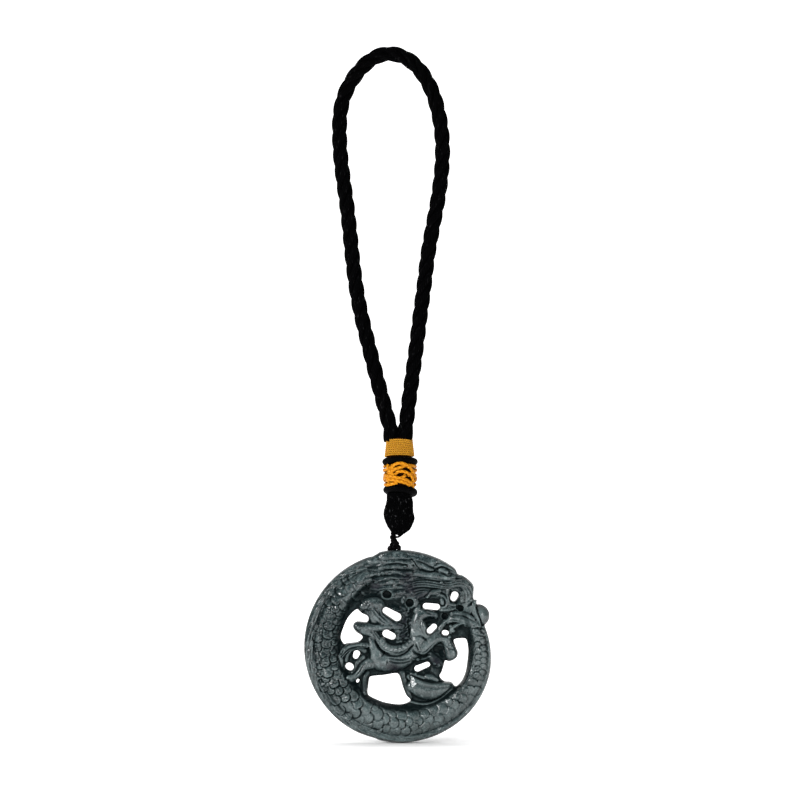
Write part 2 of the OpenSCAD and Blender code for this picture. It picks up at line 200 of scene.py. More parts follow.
# materials
class Nodes:
    """A material, and a short way to write its nodes: each call makes one and returns an output of it."""

    def __init__(self, name):
        self.material = bpy.data.materials.new(name)
        self.material.use_nodes = True
        self.tree = self.material.node_tree
        self.tree.nodes.clear()

    def make(self, kind, inputs=None, out=0, **props):
        n = self.tree.nodes.new(kind)
        for k, v in props.items():
            setattr(n, k, v)
        for k, v in (inputs or {}).items():
            if isinstance(v, bpy.types.NodeSocket):
                self.tree.links.new(v, n.inputs[k])
            else:
                n.inputs[k].default_value = v
        return n.outputs[out]

    def coords(self, what="Object"):
        return self.make("ShaderNodeTexCoord", out=what)

    def attribute(self, name):
        return self.make("ShaderNodeAttribute", attribute_name=name, out="Fac")

    def noise(self, vector, scale, detail, rough=0.55):
        return self.make("ShaderNodeTexNoise", {"Vector": vector, "Scale": scale, "Detail": detail,
                                                "Roughness": rough})

    def ramp(self, value, stops):
        n = self.tree.nodes.new("ShaderNodeValToRGB")
        self.tree.links.new(value, n.inputs[0])
        e = n.color_ramp.elements
        while len(e) < len(stops):
            e.new(0.5)
        for k, (at, colour) in enumerate(stops):
            e[k].position = at
            e[k].color = (*colour, 1)
        return n.outputs[0]

    def fit(self, value, low, high, to_low, to_high):
        return self.make("ShaderNodeMapRange", {"Value": value, "From Min": low, "From Max": high,
                                                "To Min": to_low, "To Max": to_high})

    def math(self, op, a, b=0.0):
        return self.make("ShaderNodeMath", {0: a, 1: b}, operation=op)

    def vector(self, op, a, b=(0, 0, 0), out=0):
        return self.make("ShaderNodeVectorMath", {0: a, 1: b}, out=out, operation=op)

    def mix(self, share, a, b):
        a, b = [(*v, 1) if isinstance(v, tuple) else v for v in (a, b)]
        return self.make("ShaderNodeMix", {0: share, 6: a, 7: b}, out=2, data_type="RGBA")

    def bump(self, height, strength, distance, **under):
        return self.make("ShaderNodeBump", {"Height": height, "Strength": strength, "Distance": distance,
                                            **under})

    def surface(self, inputs):
        out = self.tree.nodes.new("ShaderNodeOutputMaterial")
        self.tree.links.new(self.make("ShaderNodeBsdfPrincipled", inputs), out.inputs[0])
        return self.material


def jade_material():
    """Polished dark stone: clouds, flecks and spots, painted shade where it is low, painted highlights on its
    crests.
    """
    n = Nodes("polished_dark_jade")
    at = n.coords()
    painted_cavity_shade, tint, shade, painted_crest_highlight = [n.attribute(name) for name in ("painted_cavity_shade", "tint", "shade", "painted_crest_highlight")]
    cloud = n.noise(at, 170.0, 6.0, 0.68)
    fleck = n.noise(at, 620.0, 5.0, 0.7)
    spot = n.noise(at, 1500.0, 3.0, 0.6)
    lower_right = n.vector("DOT_PRODUCT", at, (0.45, 0.0, -0.9), out="Value")
    black = (0.002, 0.0055, 0.006)
    base = n.ramp(cloud, [(0.37, (0.005, 0.010, 0.011)), (0.49, (0.015, 0.026, 0.028)),
                          (0.61, (0.046, 0.065, 0.067))])
    # what each layer follows, from which value to which, its least and most strength, and its colour
    for value, low, high, least, most, colour in (
            (fleck, 0.53, 0.65, 0, 0.9, (0.095, 0.122, 0.124)), (fleck, 0.50, 0.38, 0, 0.9, black),
            (spot, 0.55, 0.68, 0, 0.6, (0.105, 0.133, 0.135)), (spot, 0.46, 0.34, 0, 0.6, black),
            (lower_right, 0.140, 0.180, 0, 0.30, (0.065, 0.090, 0.090)),
            # the shade field's dark patches are partly painted shade
            (shade, 0, 1, 0.08, 0.85, (0.003, 0.0075, 0.0085)), (shade, 0, -1, 0, 0.8, (0.070, 0.092, 0.093)),
            # on the next line, the low places take a near-black colour as painted shade
            (tint, 0, 1, 0, 1, (0.005, 0.004, 0.0075)), (painted_cavity_shade, 0, 0.8, 0, 0.97, (0.0020, 0.0042, 0.0047)),
            # the crests take a pale colour as painted highlight
            (painted_crest_highlight, 0, 1, 0, 0.6, (0.085, 0.115, 0.115))):
        base = n.mix(n.fit(value, low, high, least, most), base, colour)
    clouded = n.math("MAXIMUM", n.math("MULTIPLY", tint, 0.55), n.math("MULTIPLY", shade, 0.30))
    shine = n.fit(n.math("ADD", painted_cavity_shade, clouded), 0, 0.6, 0.5, 0.04)
    polish = n.noise(at, 560.0, 4.0, 0.65)
    grain = n.bump(n.noise(at, 2600.0, 3.0, 0.6), 0.10, 0.0001)
    return n.surface({"Base Color": base, "Roughness": n.fit(polish, 0.3, 0.7, 0.15, 0.32), "IOR": 1.62,
                      "Specular IOR Level": shine, "Normal": n.bump(polish, 0.30, 0.0006, Normal=grain)})


def fibre_material(name, dark, light, twist_v, scale_u, rough, bump_mm, shine, speck=0):
    """Yarn that runs along a tube: fine lines that lie at a slant on its surface, and a few pale specks."""
    n = Nodes(name)
    u, v = [n.make("ShaderNodeSeparateXYZ", {0: n.coords("UV")}, out=k) for k in (0, 1)]
    slant = n.math("ADD", n.math("MULTIPLY", u, scale_u * TURN), n.math("MULTIPLY", v, twist_v * TURN))
    wave = n.fit(n.math("SINE", slant), -1, 1, 0, 1)
    fuzz = n.noise(n.coords(), 2400.0, 3.0, 0.6)
    height = n.math("ADD", wave, n.math("MULTIPLY", fuzz, 0.7))
    # the slant lines are the yarn's own; their darker troughs, where the bump is low, are painted shade
    colour = n.mix(n.math("MULTIPLY", wave, fuzz), dark, light)
    if speck:
        dots = n.noise(n.vector("MULTIPLY", n.coords(), (1.0, 1.0, 0.55)), 1700.0, 2.0, 0.5)
        colour = n.mix(n.fit(dots, 0.62, 0.72, 0, speck), colour, (0.10, 0.10, 0.105))
    return n.surface({"Base Color": colour, "Roughness": rough, "Specular IOR Level": shine,
                      "Normal": n.bump(height, 0.7, bump_mm * MM)})


def core_material(name, dark, light):
    """What shows between strands: dull thread in the shade."""
    n = Nodes(name)
    grain = n.noise(n.coords(), 1600.0, 3.0)
    return n.surface({"Base Color": n.ramp(grain, [(0.3, dark), (0.7, light)]), "Roughness": 0.9,
                      "Specular IOR Level": 0.0, "Normal": n.bump(grain, 0.5, 0.0001)})


def near_white(n, scale):
    return n.mix(n.noise(n.coords(), scale, 2.0, 0.5), (0.90, 0.90, 0.90), (0.93, 0.93, 0.93))


def floor_material():
    """White as the photograph's ground from a glow, which fades out round the stone's foot as a painted
    shadow; there the lamps alone light it and cast the stone's real shadow.
    """
    n = Nodes("pale_floor")
    away = n.vector("LENGTH", n.vector("MULTIPLY", n.coords(), (0.40, 1.0, 0.0)), out="Value")
    # painted shadow: no glow right round the stone's foot, wider across than deep
    glow_with_painted_shadow = n.fit(away, 0.003, 0.040, 0, 0.95)
    return n.surface({"Base Color": near_white(n, 3.0), "Roughness": 0.85, "Specular IOR Level": 0.1,
                      "Emission Color": (1, 1, 1, 1), "Emission Strength": glow_with_painted_shadow})


def wall_material():
    n = Nodes("pale_backdrop")
    return n.surface({"Base Color": near_white(n, 2.0), "Roughness": 0.9, "Emission Color": (1, 1, 1, 1),
                      "Emission Strength": 1.0})


# camera
camera_data = bpy.data.cameras.new("camera")
camera_data.lens, camera_data.sensor_width = 180.0, 36.0
camera_data.clip_start, camera_data.clip_end = 0.05, 20.0
camera_data.dof.use_dof = False
camera = bpy.data.objects.new("camera", camera_data)
camera.location = (NECK_X * MM, -VIEW_AWAY * MM, VIEW_Z * MM)
camera.rotation_euler = (math.pi / 2, 0, 0)
scene.collection.objects.link(camera)
scene.camera = camera


# the rope of the loop
def rope():
    black = fibre_material("black_rope_yarn", (0.0002, 0.0002, 0.0003), (0.0015, 0.0015, 0.0017), -0.9, 7.0,
                           rough=0.85, bump_mm=0.10, speck=0.06, shine=0.012)
    step, buried = 0.8, 1.0
    line, s = even(smooth([[x, 0, z - buried * (z == WRAP_TOP)] for x, z in CORD_ROUTE], step), 0.55)
    depth = np.array([0.0, 1.0, 0.0])
    strands, one_turn, fluff = 4, 20.0, 1.09
    r = 1.01 * fluff * CORD_D / 2 / (1 + math.sqrt(2))
    out = fluff * CORD_D / 2 - r
    # the strands swell where they come out of the winding
    near_end = np.minimum(s, s[-1] - s)
    swell = 1.02 + 0.16 * np.exp(-(near_end / 3) ** 2)
    b = Bundle()
    b.lay(line, s, strands, out, -one_turn, r * swell, np.cross(heading(line), depth), depth, 0.6, sides=14)
    b.add(line, out * 0.55, sides=8)
    piece = b.object("loop_rope", black)
    stands_for(piece, "loop_cord")


rope()


# The carved face, as a field of heights over the middle of the stone, built up from strokes
PITCH = 0.12
GX = np.arange(-29.52, 29.1, PITCH)
GZ = np.arange(-30.0, 30.2, PITCH)
X, Z = np.meshgrid(GX, GZ, indexing="ij")
FAR_BELOW = -9

# the height of the pierced web, and a lesser one under which no face sinks
WEB, LEAST = 2.2, 0.6

# The ring lies between an outline about its centre and a circle about another. Rows are angle and radius.
OUT_AT = (0.29, -0.29)
IN_AT, IN_R = (2.02, 1.44), 19.3
OUTLINE = [
    [-180, 28.55], [-150, 28.5], [-120, 28.6], [-106, 28.4], [-100, 28.7], [-75, 28.85], [-45, 28.95],
    [-30, 28.8], [-15, 28.4], [-3, 27.7], [6, 27.1], [12, 26.7], [22, 26.4], [32, 26.6], [36, 27.7],
    [39, 28.9], [42, 29.15], [48, 28.75], [51, 28.15], [54, 28.85], [58, 29.05], [75, 29.1], [99, 29.1],
    [103, 28.7], [107, 28.25], [111, 28.45], [150, 28.5], [180, 28.55]]

# The bare rim: angle and width, and the radius of its middle
RIM = [
    [-180, 3.1], [-150, 3.2], [-130, 3.2], [-110, 2.8], [-90, 2.2], [-60, 1.9], [-45, 1.6], [-30, 1.4],
    [-10, 1.1], [8, 1], [20, 1.8], [108, 3], [150, 3.1], [180, 3.1]]
RIM_MIDDLE = 27.3

# The ring's height: per cent by angle, and heights by per cent across the rim and across the body inside it
SWELL = [
    [-180, 100], [4, 100], [14, 64], [100, 64], [120, 100], [180, 100]]
RIM_ROWS = [
    [-10, .9], [0, 1.3], [10, 2], [30, 2.6], [60, 2.85], [88, 2.9], [100, 2.8]]
BODY_ROWS = [
    [0, 2.8], [5, 3.2], [12, 3.7], [22, 4.15], [34, 4.4], [48, 4.45], [60, 4.3], [70, 4], [78, 3.6],
    [85, 3.05], [92, 2.5], [100, 2.1], [125, 2.1]]

# The pearl, and the strip of the fin over it that stands out past the ring
PEARL_X, PEARL_Z, PEARL_R = 24.1, 9.1, 3.4
FIN_LEFT, FIN_RIGHT, FIN_LOW, FIN_TOP = 22.75, 23.65, 10.5, 13.85

# Gaps that go right through: outlines left of the clouds, right of the foreleg and under the belly
CLOUD_GAP = [
    [-16.2, .6], [-17.2, 2.5], [-16.3, 5.8], [-14.8, 8.8], [-12.5, 11], [-11.6, 10.5], [-10.8, 9.8],
    [-9.3, 9.1], [-8.9, 8.2], [-9.4, 7.2], [-12.4, 7.3], [-13.5, 6.2], [-13.2, 5], [-12.4, 4.1], [-10.8, 3],
    [-10.9, 2.1], [-12.2, 1.2], [-15.3, .8]]
FORELEG_GAP = [
    [16.8, 1.4], [17.2, 2.1], [19.8, 2.3], [20.6, 1.7], [21.1, -1], [20.9, -4], [20.4, -7.4], [19.5, -9.9],
    [18.2, -11.6], [17.2, -12.1], [16, -10.9], [13.9, -10.6], [12.5, -9.1], [13.1, -7.8], [13.7, -6],
    [14.2, -4.4], [15.6, -4.6], [17.5, -3.6], [18, -2.1], [17.4, -.4]]
BELLY_GAP = [
    [-8.6, -9.8], [-7.8, -9.1], [-4, -8.7], [-1, -8.2], [0, -8.4], [.7, -9.6], [1.5, -12.5], [2.5, -14.8],
    [3.7, -16.1], [3.2, -16.9], [1, -17.6], [-2, -17.4], [-5, -16.7], [-8.3, -15.2], [-9.1, -14.1],
    [-8.9, -12]]

# Slots that go right through: x, z and radius at one end, then at the other
SLOTS = [
    [-3.6, 10.6, 1, -.3, 8.7, 1.25], [-3.5, 3.7, 1.15, -1.8, 2.9, 1.05], [8.4, 12, .9, 11.6, 11.7, .95],
    [16.7, 14.4, .95, 17.1, 15.3, 1.05], [10.8, 5.8, .85, 9.6, 4.6, .9], [14, 4, .78, 14.5, 3.9, .75],
    [5.9, -6.8, .95, 8.8, -5.6, .8], [-12.4, -2.3, .97, -12.7, -3.1, .8],
    [-14.7, -6.1, 1.07, -14.4, -6.3, 1.07], [-12, -10.3, .4, -12.2, -10.7, .38]]

# The strokes of the figures: rows of x, z, half the width and the level of the top
HORSE = [
    # body from the rump to the chest, then neck and head
    [[-6.4, -2.2, 2.6, 3.9], [-6, -4.2, 3.3, 4], [-3.2, -4.6, 3.6, 4.2], [.6, -3.6, 3.9, 4.25],
     [4.2, -1.6, 2.9, 4.1], [5.8, 1.4, 3, 4.05], [6.1, 4.6, 2.4, 4.05], [6, 7.6, 2.3, 4.1],
     [7, 9.6, 2.1, 4.05], [9.2, 9.6, 1.7, 3.9], [11, 9.2, 1.1, 3.6]],
    [[-8.2, 2.2, .8, 3.3], [-7.6, .6, 1.3, 3.7], [-7, -1.6, 1.6, 3.9]],
    [[5.6, 10.6, 1, 3.8], [6.2, 11.6, .7, 3.7], [6.3, 12.2, .4, 3.3]],
    [[7, 6.6, 1.3, 3.8], [7.9, 4.8, 1.3, 3.7], [8.8, 3.4, 1.2, 3.6]],
    # raised foreleg and hoof
    [[7.4, -.8, 2, 4], [9, .6, 1.8, 4.1], [11, 2, 1.5, 4.1], [12.8, 2.6, 1.4, 4], [14.4, 1.8, 1.4, 3.9],
     [15.2, .2, 1.4, 3.8], [15.9, -1.6, 1.8, 3.9], [16.1, -2.6, 1.9, 3.9]],
    [[7.8, 2.6, 1, 3.5], [9.2, 3, .8, 3.3], [11.4, 3.6, .9, 3.4], [12.4, 5, .9, 3.3], [13.4, 6.4, .7, 3.3],
     [14.6, 7.8, .8, 3.6]],
    # far foreleg
    [[9.6, -2.6, 1.3, 2.9], [11.3, -4.4, 1.7, 3.2], [12.2, -5.2, 1.6, 3.2]],
    [[11, -7.4, 1.8, 2.6], [11.8, -9.2, 1.2, 2.6]],
    # hind legs
    [[-8, -5, 2.2, 3.9], [-10.2, -6, 1.5, 3.7], [-11.4, -7.4, 1.2, 3.6], [-12.6, -8.7, 1.1, 3.6],
     [-13.9, -9.6, 1.2, 3.8]],
    [[-9, -8, .6, 2.9], [-10, -9.6, .7, 2.9], [-9.9, -12, .7, 2.9], [-9.9, -14.4, .7, 2.8]],
    # tail strands
    [[-9.4, .3, .9, 3.5], [-11.6, .4, .9, 3.5], [-14, .1, 1, 3.4], [-15.9, -1.2, 1, 3.4],
     [-17.3, -3, .9, 3.3]],
    [[-10, -1.4, .9, 2.9], [-11.4, -.9, .8, 3], [-13.6, -.9, .7, 3], [-15, -2.2, .8, 3],
     [-15.6, -4.2, .7, 2.9]],
    [[-10.4, -3.4, .9, 2.9], [-11.9, -4.7, .8, 2.9], [-12.8, -6.2, .7, 2.8], [-13.6, -7.9, .8, 2.8]],
    [[-17.4, -3, .6, 3.3], [-16.8, -5, .7, 3.2], [-16.6, -7.2, .7, 2.9]]]

CLOUDS = [
    [[-10.4, 11.9, 1.5, 3.2], [-9.4, 12.4, 2.2, 3.7], [-7.6, 12.8, 2.2, 4], [-6, 12.6, 2.1, 4],
     [-5, 11.4, 1.4, 3.7], [-4.6, 9.8, 1, 3.6], [-3.2, 8, 1.1, 3.6], [-1.2, 6.6, 1, 3.4], [1, 5.9, .8, 3.2]],
    [[-7.2, 10.6, 1.5, 3.8], [-6.4, 9, 1.5, 3.8], [-4.8, 7.5, 1.3, 3.7], [-3.4, 6.7, 1, 3.5]],
    [[-9.2, 10.4, 1.2, 3], [-7.4, 8.6, 1.4, 3.4], [-7.1, 7.6, 1.2, 3.4]],
    [[-12.3, 5.9, 1.5, 3.4], [-11.2, 5.7, 1.7, 3.7], [-9.2, 5.6, 1.6, 3.9], [-6.8, 5.6, 1.3, 3.8],
     [-4, 5.8, 1, 3.6], [-1, 6, .9, 3.4], [1.2, 6, .8, 3.2]],
    [[-10.6, 5, 1.6, 3.5], [-8.8, 4.4, 1.5, 3.6], [-7.2, 3.4, 1.2, 3.6], [-6, 2, 1, 3.6],
     [-5.4, 1, .8, 3.6]]]

SADDLE = [
    [[-5, 1.6, 1.2, 4], [-4.2, .2, 1.3, 4.2], [-2.6, -.8, 1.3, 4.3], [-.6, -1.1, 1.3, 4.35],
     [1.4, -.8, 1.3, 4.3], [2.8, .1, 1.2, 4.2], [3.8, 1.2, 1, 4.1]]]

INGOT = [
    [[4.2, -12, 2, 3.9], [6.4, -12.7, 3, 4.1], [9, -13.2, 3.3, 4.25], [12, -13.2, 2.7, 4.1],
     [14.4, -12.7, 1.4, 3.8], [15.6, -12.2, .8, 3.5]],
    [[3.4, -9.2, .8, 3.7], [5.2, -10.2, .8, 4], [7.4, -11.1, .8, 4.3], [10, -11.6, .8, 4.35],
     [13, -11.7, .8, 4.3], [15.6, -11.6, .7, 4], [16.6, -11.8, .5, 3.7]],
    [[4, -8.4, .7, 2.9], [5.6, -9, .7, 3], [7.6, -9.6, .9, 3]],
    [[8.6, -9.2, .9, 3.2], [10.2, -9.4, 1.1, 3.3], [11.6, -10.2, .8, 3.1]],
    [[1.2, -8.3, 1.4, 2.9], [1.9, -10.8, 1.2, 2.9], [2.8, -13.4, 1.2, 2.9], [3.6, -15.4, .9, 2.8]],
    [[12.6, -8.6, .7, 2.7], [13, -10, .8, 2.7]],
    # thin edge of the dish under the bowl
    [[3.9, -16.7, .38, 2.9], [6.2, -17.2, .36, 3], [9, -17.2, .34, 3], [12, -16.1, .36, 3.1],
     [14.6, -14.4, .4, 3.2], [16.4, -12.6, .45, 3.2], [17.2, -11.9, .4, 3]]]

# The facet at the left end of the ingot's bowl
FACET = [[3.4, -8.9], [4.4, -9], [5.6, -10.9], [4.9, -12], [4.1, -12.4]]

# The raised plate under the head and the mane: its level, how far its lip stands out, and its outline
PLATE_LEVEL, PLATE_LIP = 2.5, 0.2
HEAD_PLATE = [
    [-10.6, 17.4], [-9.4, 16.2], [-7.4, 16.2], [-5.2, 15.4], [-4.6, 14.2], [-1.6, 13.9], [1.4, 13.8],
    [3, 11.4], [5, 11.6], [6.2, 13.6], [8, 14.4], [12.4, 14.3], [12.9, 11], [14.2, 10.2], [18, 10.2],
    [21.6, 8.6], [23.6, 12.8], [23, 14], [22.9, 17], [21, 20.2], [18.2, 21.6], [17.8, 23.1], [12, 26.4],
    [5.2, 28.4], [0, 29.2], [-3, 28.9], [-7.5, 27], [-10.4, 23.4]]

HEAD = [
    # crest along the top
    [[-10.2, 24.6, .9, 1.9], [-7.6, 25.4, 1.5, 2.6], [-3, 26.4, 2.2, 3.2], [1, 26.4, 2.4, 3.45],
     [5, 25.9, 2.3, 3.5], [9, 25, 2, 3.6], [12, 24.4, 1.5, 3.7]],
    [[12.2, 25.2, .7, 3.9], [14.4, 24.5, .8, 4], [16.2, 23.3, .8, 3.9], [17.2, 22.4, .8, 3.7]],
    # leaf ears
    [[4.6, 25.6, .5, 3.9], [5.6, 24.5, .7, 4.1], [6.5, 23.4, .5, 3.9]],
    [[6, 24.7, .6, 4], [7.4, 24.2, .9, 4.25], [9, 23.4, .8, 4.2], [10.4, 22.9, .4, 4]],
    # eye and brow
    [[11.2, 23.9, .5, 4.1], [12.8, 24.4, .5, 4.3], [14.6, 23.9, .5, 4.3], [16.2, 23, .5, 4]],
    [[12.8, 22.9, .9, 4.3], [13.6, 22.7, 1, 4.4], [14.6, 22.3, .7, 4.2]],
    # forehead and cheek
    [[3.6, 21.2, .3, 3.5], [4.8, 21.6, .7, 3.8], [6.4, 21.8, 1.2, 4.05], [8.6, 21.4, 1.3, 4.25],
     [11.6, 21, 1.4, 4.35], [14.2, 20.7, 1.3, 4.3], [16.6, 20.6, 1.1, 4.1]],
    # upper lip and nose
    [[5, 18.4, 1.2, 3.8], [8, 18.8, 1.2, 4.1], [11, 18.6, 1.2, 4.2], [14, 18.2, 1.2, 4.2],
     [16.8, 18.6, 1.3, 4.2], [19, 18.9, 1.6, 4.25], [20.6, 17.8, 1.9, 4.2], [21.2, 15.8, 1.6, 4.1],
     [20.8, 13.6, 1.2, 3.8]],
    [[18.6, 13.6, 1.2, 3.9], [19.2, 14.6, 1, 4], [19.4, 16, .8, 4]],
    [[15, 16.8, .8, 3.9], [14.9, 14.6, .7, 3.9], [15.2, 12.9, .7, 3.8], [17, 12.4, .7, 3.7]],
    # lip between the pit and the slot
    [[8.8, 15, .6, 3.7], [9.6, 16, .8, 3.8], [10.8, 16.2, 1, 3.9], [12.4, 16.6, .8, 4]],
    # tongue hook
    [[12.9, 15.4, .4, 3.8], [14.1, 14.7, .45, 3.9], [14.7, 13.4, .45, 3.95], [14.3, 12, .4, 3.9],
     [12.9, 11.5, .35, 3.8]],
    [[13.3, 13.9, .8, 3.6], [13.5, 12.9, .7, 3.6]],
    # chin and jaw behind the slot
    [[5.4, 14, .5, 3.5], [5.7, 13.2, .6, 3.5], [5.2, 12.2, .6, 3.3]],
    [[12.9, 10.9, .5, 3.4], [14.6, 10.9, .5, 3.4], [16.4, 11.2, .6, 3.5]],
    # forelimb: upper edge, middle and claw
    [[14.9, 7.6, .9, 3.8], [16.4, 8.5, 1.3, 4.1], [18.4, 8.4, 1.7, 4.3], [20.6, 7.7, 1.9, 4.3],
     [22.6, 6.7, 1.5, 4.2], [24.2, 5.9, .8, 4]],
    [[16.2, 9.7, .7, 3.9], [18.2, 9.9, .8, 4], [20.4, 9.3, .8, 4.1], [22.4, 8.1, .8, 4.1]],
    [[15.8, 4.2, .6, 3.2], [16.2, 5.4, .6, 3.5], [17.2, 6.1, .5, 3.8], [18.8, 6.8, .5, 4]],
    # fin beside the pearl
    [[23, 13.7, .5, 3.6], [22.6, 12.2, .7, 3.9], [22.9, 10.4, .8, 4], [23.8, 8.6, .7, 4],
     [24.7, 6.9, .5, 3.9]]]

MANE = [
    [[4.4, 24.9, .6, 3.7], [2.6, 25, .7, 3.8], [0, 25.4, .6, 3.7], [-3, 25.4, .6, 3.5], [-5.2, 25, .4, 3.1]],
    [[4.2, 23.8, .5, 3.6], [2.2, 23.6, .6, 3.7], [-.4, 23.9, .7, 3.7], [-3, 23.8, .7, 3.6],
     [-5.6, 23.5, .5, 3.2]],
    [[3.9, 22.2, .6, 3.6], [1.8, 21.9, .7, 3.7], [-.8, 22.3, .8, 3.8], [-3, 22.1, .8, 3.7],
     [-5.4, 21.8, .8, 3.5], [-7.8, 21.7, .8, 3.4], [-9.2, 21.9, .7, 3.3]],
    [[3, 20.6, .5, 3.4], [.6, 20.6, .6, 3.5], [-2, 20.5, .6, 3.5], [-4.6, 20.1, .6, 3.3],
     [-6.6, 19.7, .6, 3.2], [-8.6, 20.1, .6, 3.2]],
    [[1.2, 19.3, .7, 3.4], [-1.6, 19.1, 1, 3.6], [-4.2, 18.9, .7, 3.3], [-6.6, 18.8, .7, 3.1],
     [-8.6, 18.7, .5, 3]],
    [[1.6, 17.7, .6, 3.3], [-.6, 17.8, .8, 3.5], [-3, 17.7, .6, 3.2], [-5.6, 17.4, .6, 3]],
    [[3, 16.9, .5, 3.2], [1, 16.5, .6, 3.3], [-1, 16, .7, 3.4], [-1.4, 15.4, .6, 3.2]],
    [[2.4, 15.4, .6, 3.2], [1.5, 14.6, .7, 3.5], [1.4, 13.4, .6, 3.3]]]

# Scales: centre, and half the width across the body, from the tail back to the neck
SCALES = [
    # right side, up to the cuff
    [24, 2.2, 1], [25.6, 1.3, 1.1], [23.9, .3, 1.1], [25.6, -.7, 1.1], [24.1, -1.6, 1.1], [25.8, -2.6, 1.1],
    [24.2, -3.4, 1.1], [25.7, -4.4, 1.1], [24, -5.2, 1.1], [25.6, -6.2, 1.1], [23.9, -7, 1.1],
    [25.3, -8, 1.1], [23.6, -8.9, 1.2], [25, -9.7, 1], [24.7, -11.3, 1.2], [22.4, -11, 1.4],
    [23.7, -13.3, 1.3], [21.7, -13.1, 1.4], [20, -13.1, 1], [21.7, -16, 1.5], [19.4, -15.7, 1.4],
    [17.4, -15.1, 1.1], [18.8, -18.6, 1.6], [16.9, -17.4, 1.4], [15.3, -16.6, 1.1],
    # along the bottom
    [14.8, -22.2, 1.2], [15.4, -19.9, 1.6], [13.3, -18.7, 1.5], [12.2, -21.7, 1.6], [11.4, -23.9, 1.2],
    [10.6, -18.9, 1.3], [9.1, -21.8, 1.6], [7.9, -24.1, 1.5], [8, -20.2, 1.3], [6, -22.4, 1.4],
    [4.7, -24.3, 1.4], [6.3, -25.6, .9], [4.9, -20.5, 1.5], [2.9, -22.7, 1.5], [2.2, -25.3, 1.5],
    [1.2, -20.9, 1.5], [.8, -23.4, 1.4], [-.7, -25.3, 1.5], [-1.9, -20.7, 1.3], [-1.4, -22.9, 1.6],
    [-3.8, -24.6, 1.4], [-4.2, -21.7, 1.7], [-5.9, -25, 1.2], [-6.3, -22.9, 1.9], [-6.3, -20.2, 1.8],
    [-9.2, -23.6, 1.5], [-9.1, -21.4, 1.7], [-6.9, -17.9, 1.2], [-9.9, -18.7, 1.8], [-11.8, -22, 1.6],
    [-12.9, -19.8, 1.6], [-8.6, -17.3, 1.1], [-12.2, -17, 1.6], [-15, -21, 1.2], [-15.2, -18, 1.6],
    [-17.2, -19.2, 1.3],
    # up the left side
    [-13.3, -14.9, 1.5], [-16, -15.1, 1.5], [-18.7, -16.1, 1.5], [-15.3, -12.9, 1.2], [-17.9, -13.2, 1.4],
    [-20.2, -13.2, 1.2], [-16.4, -10.8, 1.3], [-22.2, -12.6, 1.1], [-19.3, -10.9, 1.5], [-22.9, -10.9, 1],
    [-18.4, -8.7, 1.3], [-21.7, -9.6, 1.2], [-21.2, -7.6, 1.7], [-23.4, -8, 1], [-19, -6, 1.2],
    [-23.6, -6, .9], [-21.9, -4.6, 1.5], [-19.4, -3.6, 1.1], [-24, -3.4, 1.1], [-21.9, -1.7, 1.7],
    [-19.5, -1.2, 1], [-24.1, -.3, 1.2], [-21.5, 1.1, 1.5], [-19, 1.2, .9], [-24, 2.6, 1.4], [-20.9, 4, 1.7],
    [-18.6, 4.6, .9], [-23.9, 5.6, 1.2], [-20.5, 6.6, 1.7], [-18.2, 7.6, 1.2], [-22.9, 8.4, 1.4],
    [-19.9, 9.7, 1.5], [-17.6, 10.2, 1.1], [-22, 11.2, 1.3], [-18.7, 11.6, 1.4], [-16.1, 12.2, 1.5],
    [-20.7, 13.2, 1.2], [-18.5, 14.2, 1.6], [-14.6, 14.9, 1.7], [-19.4, 16.2, 1.3], [-16.9, 16.9, 1.7],
    [-12.2, 15.2, 1.6], [-17.4, 18.6, 1.3], [-14.3, 17.9, 1.6], [-15.5, 20, 1.3], [-9.9, 16.5, 1.3],
    [-11.7, 18, 1.5], [-13.5, 20.5, 1.3], [-11.1, 20, 1.4], [-9, 19.4, 1.2]]

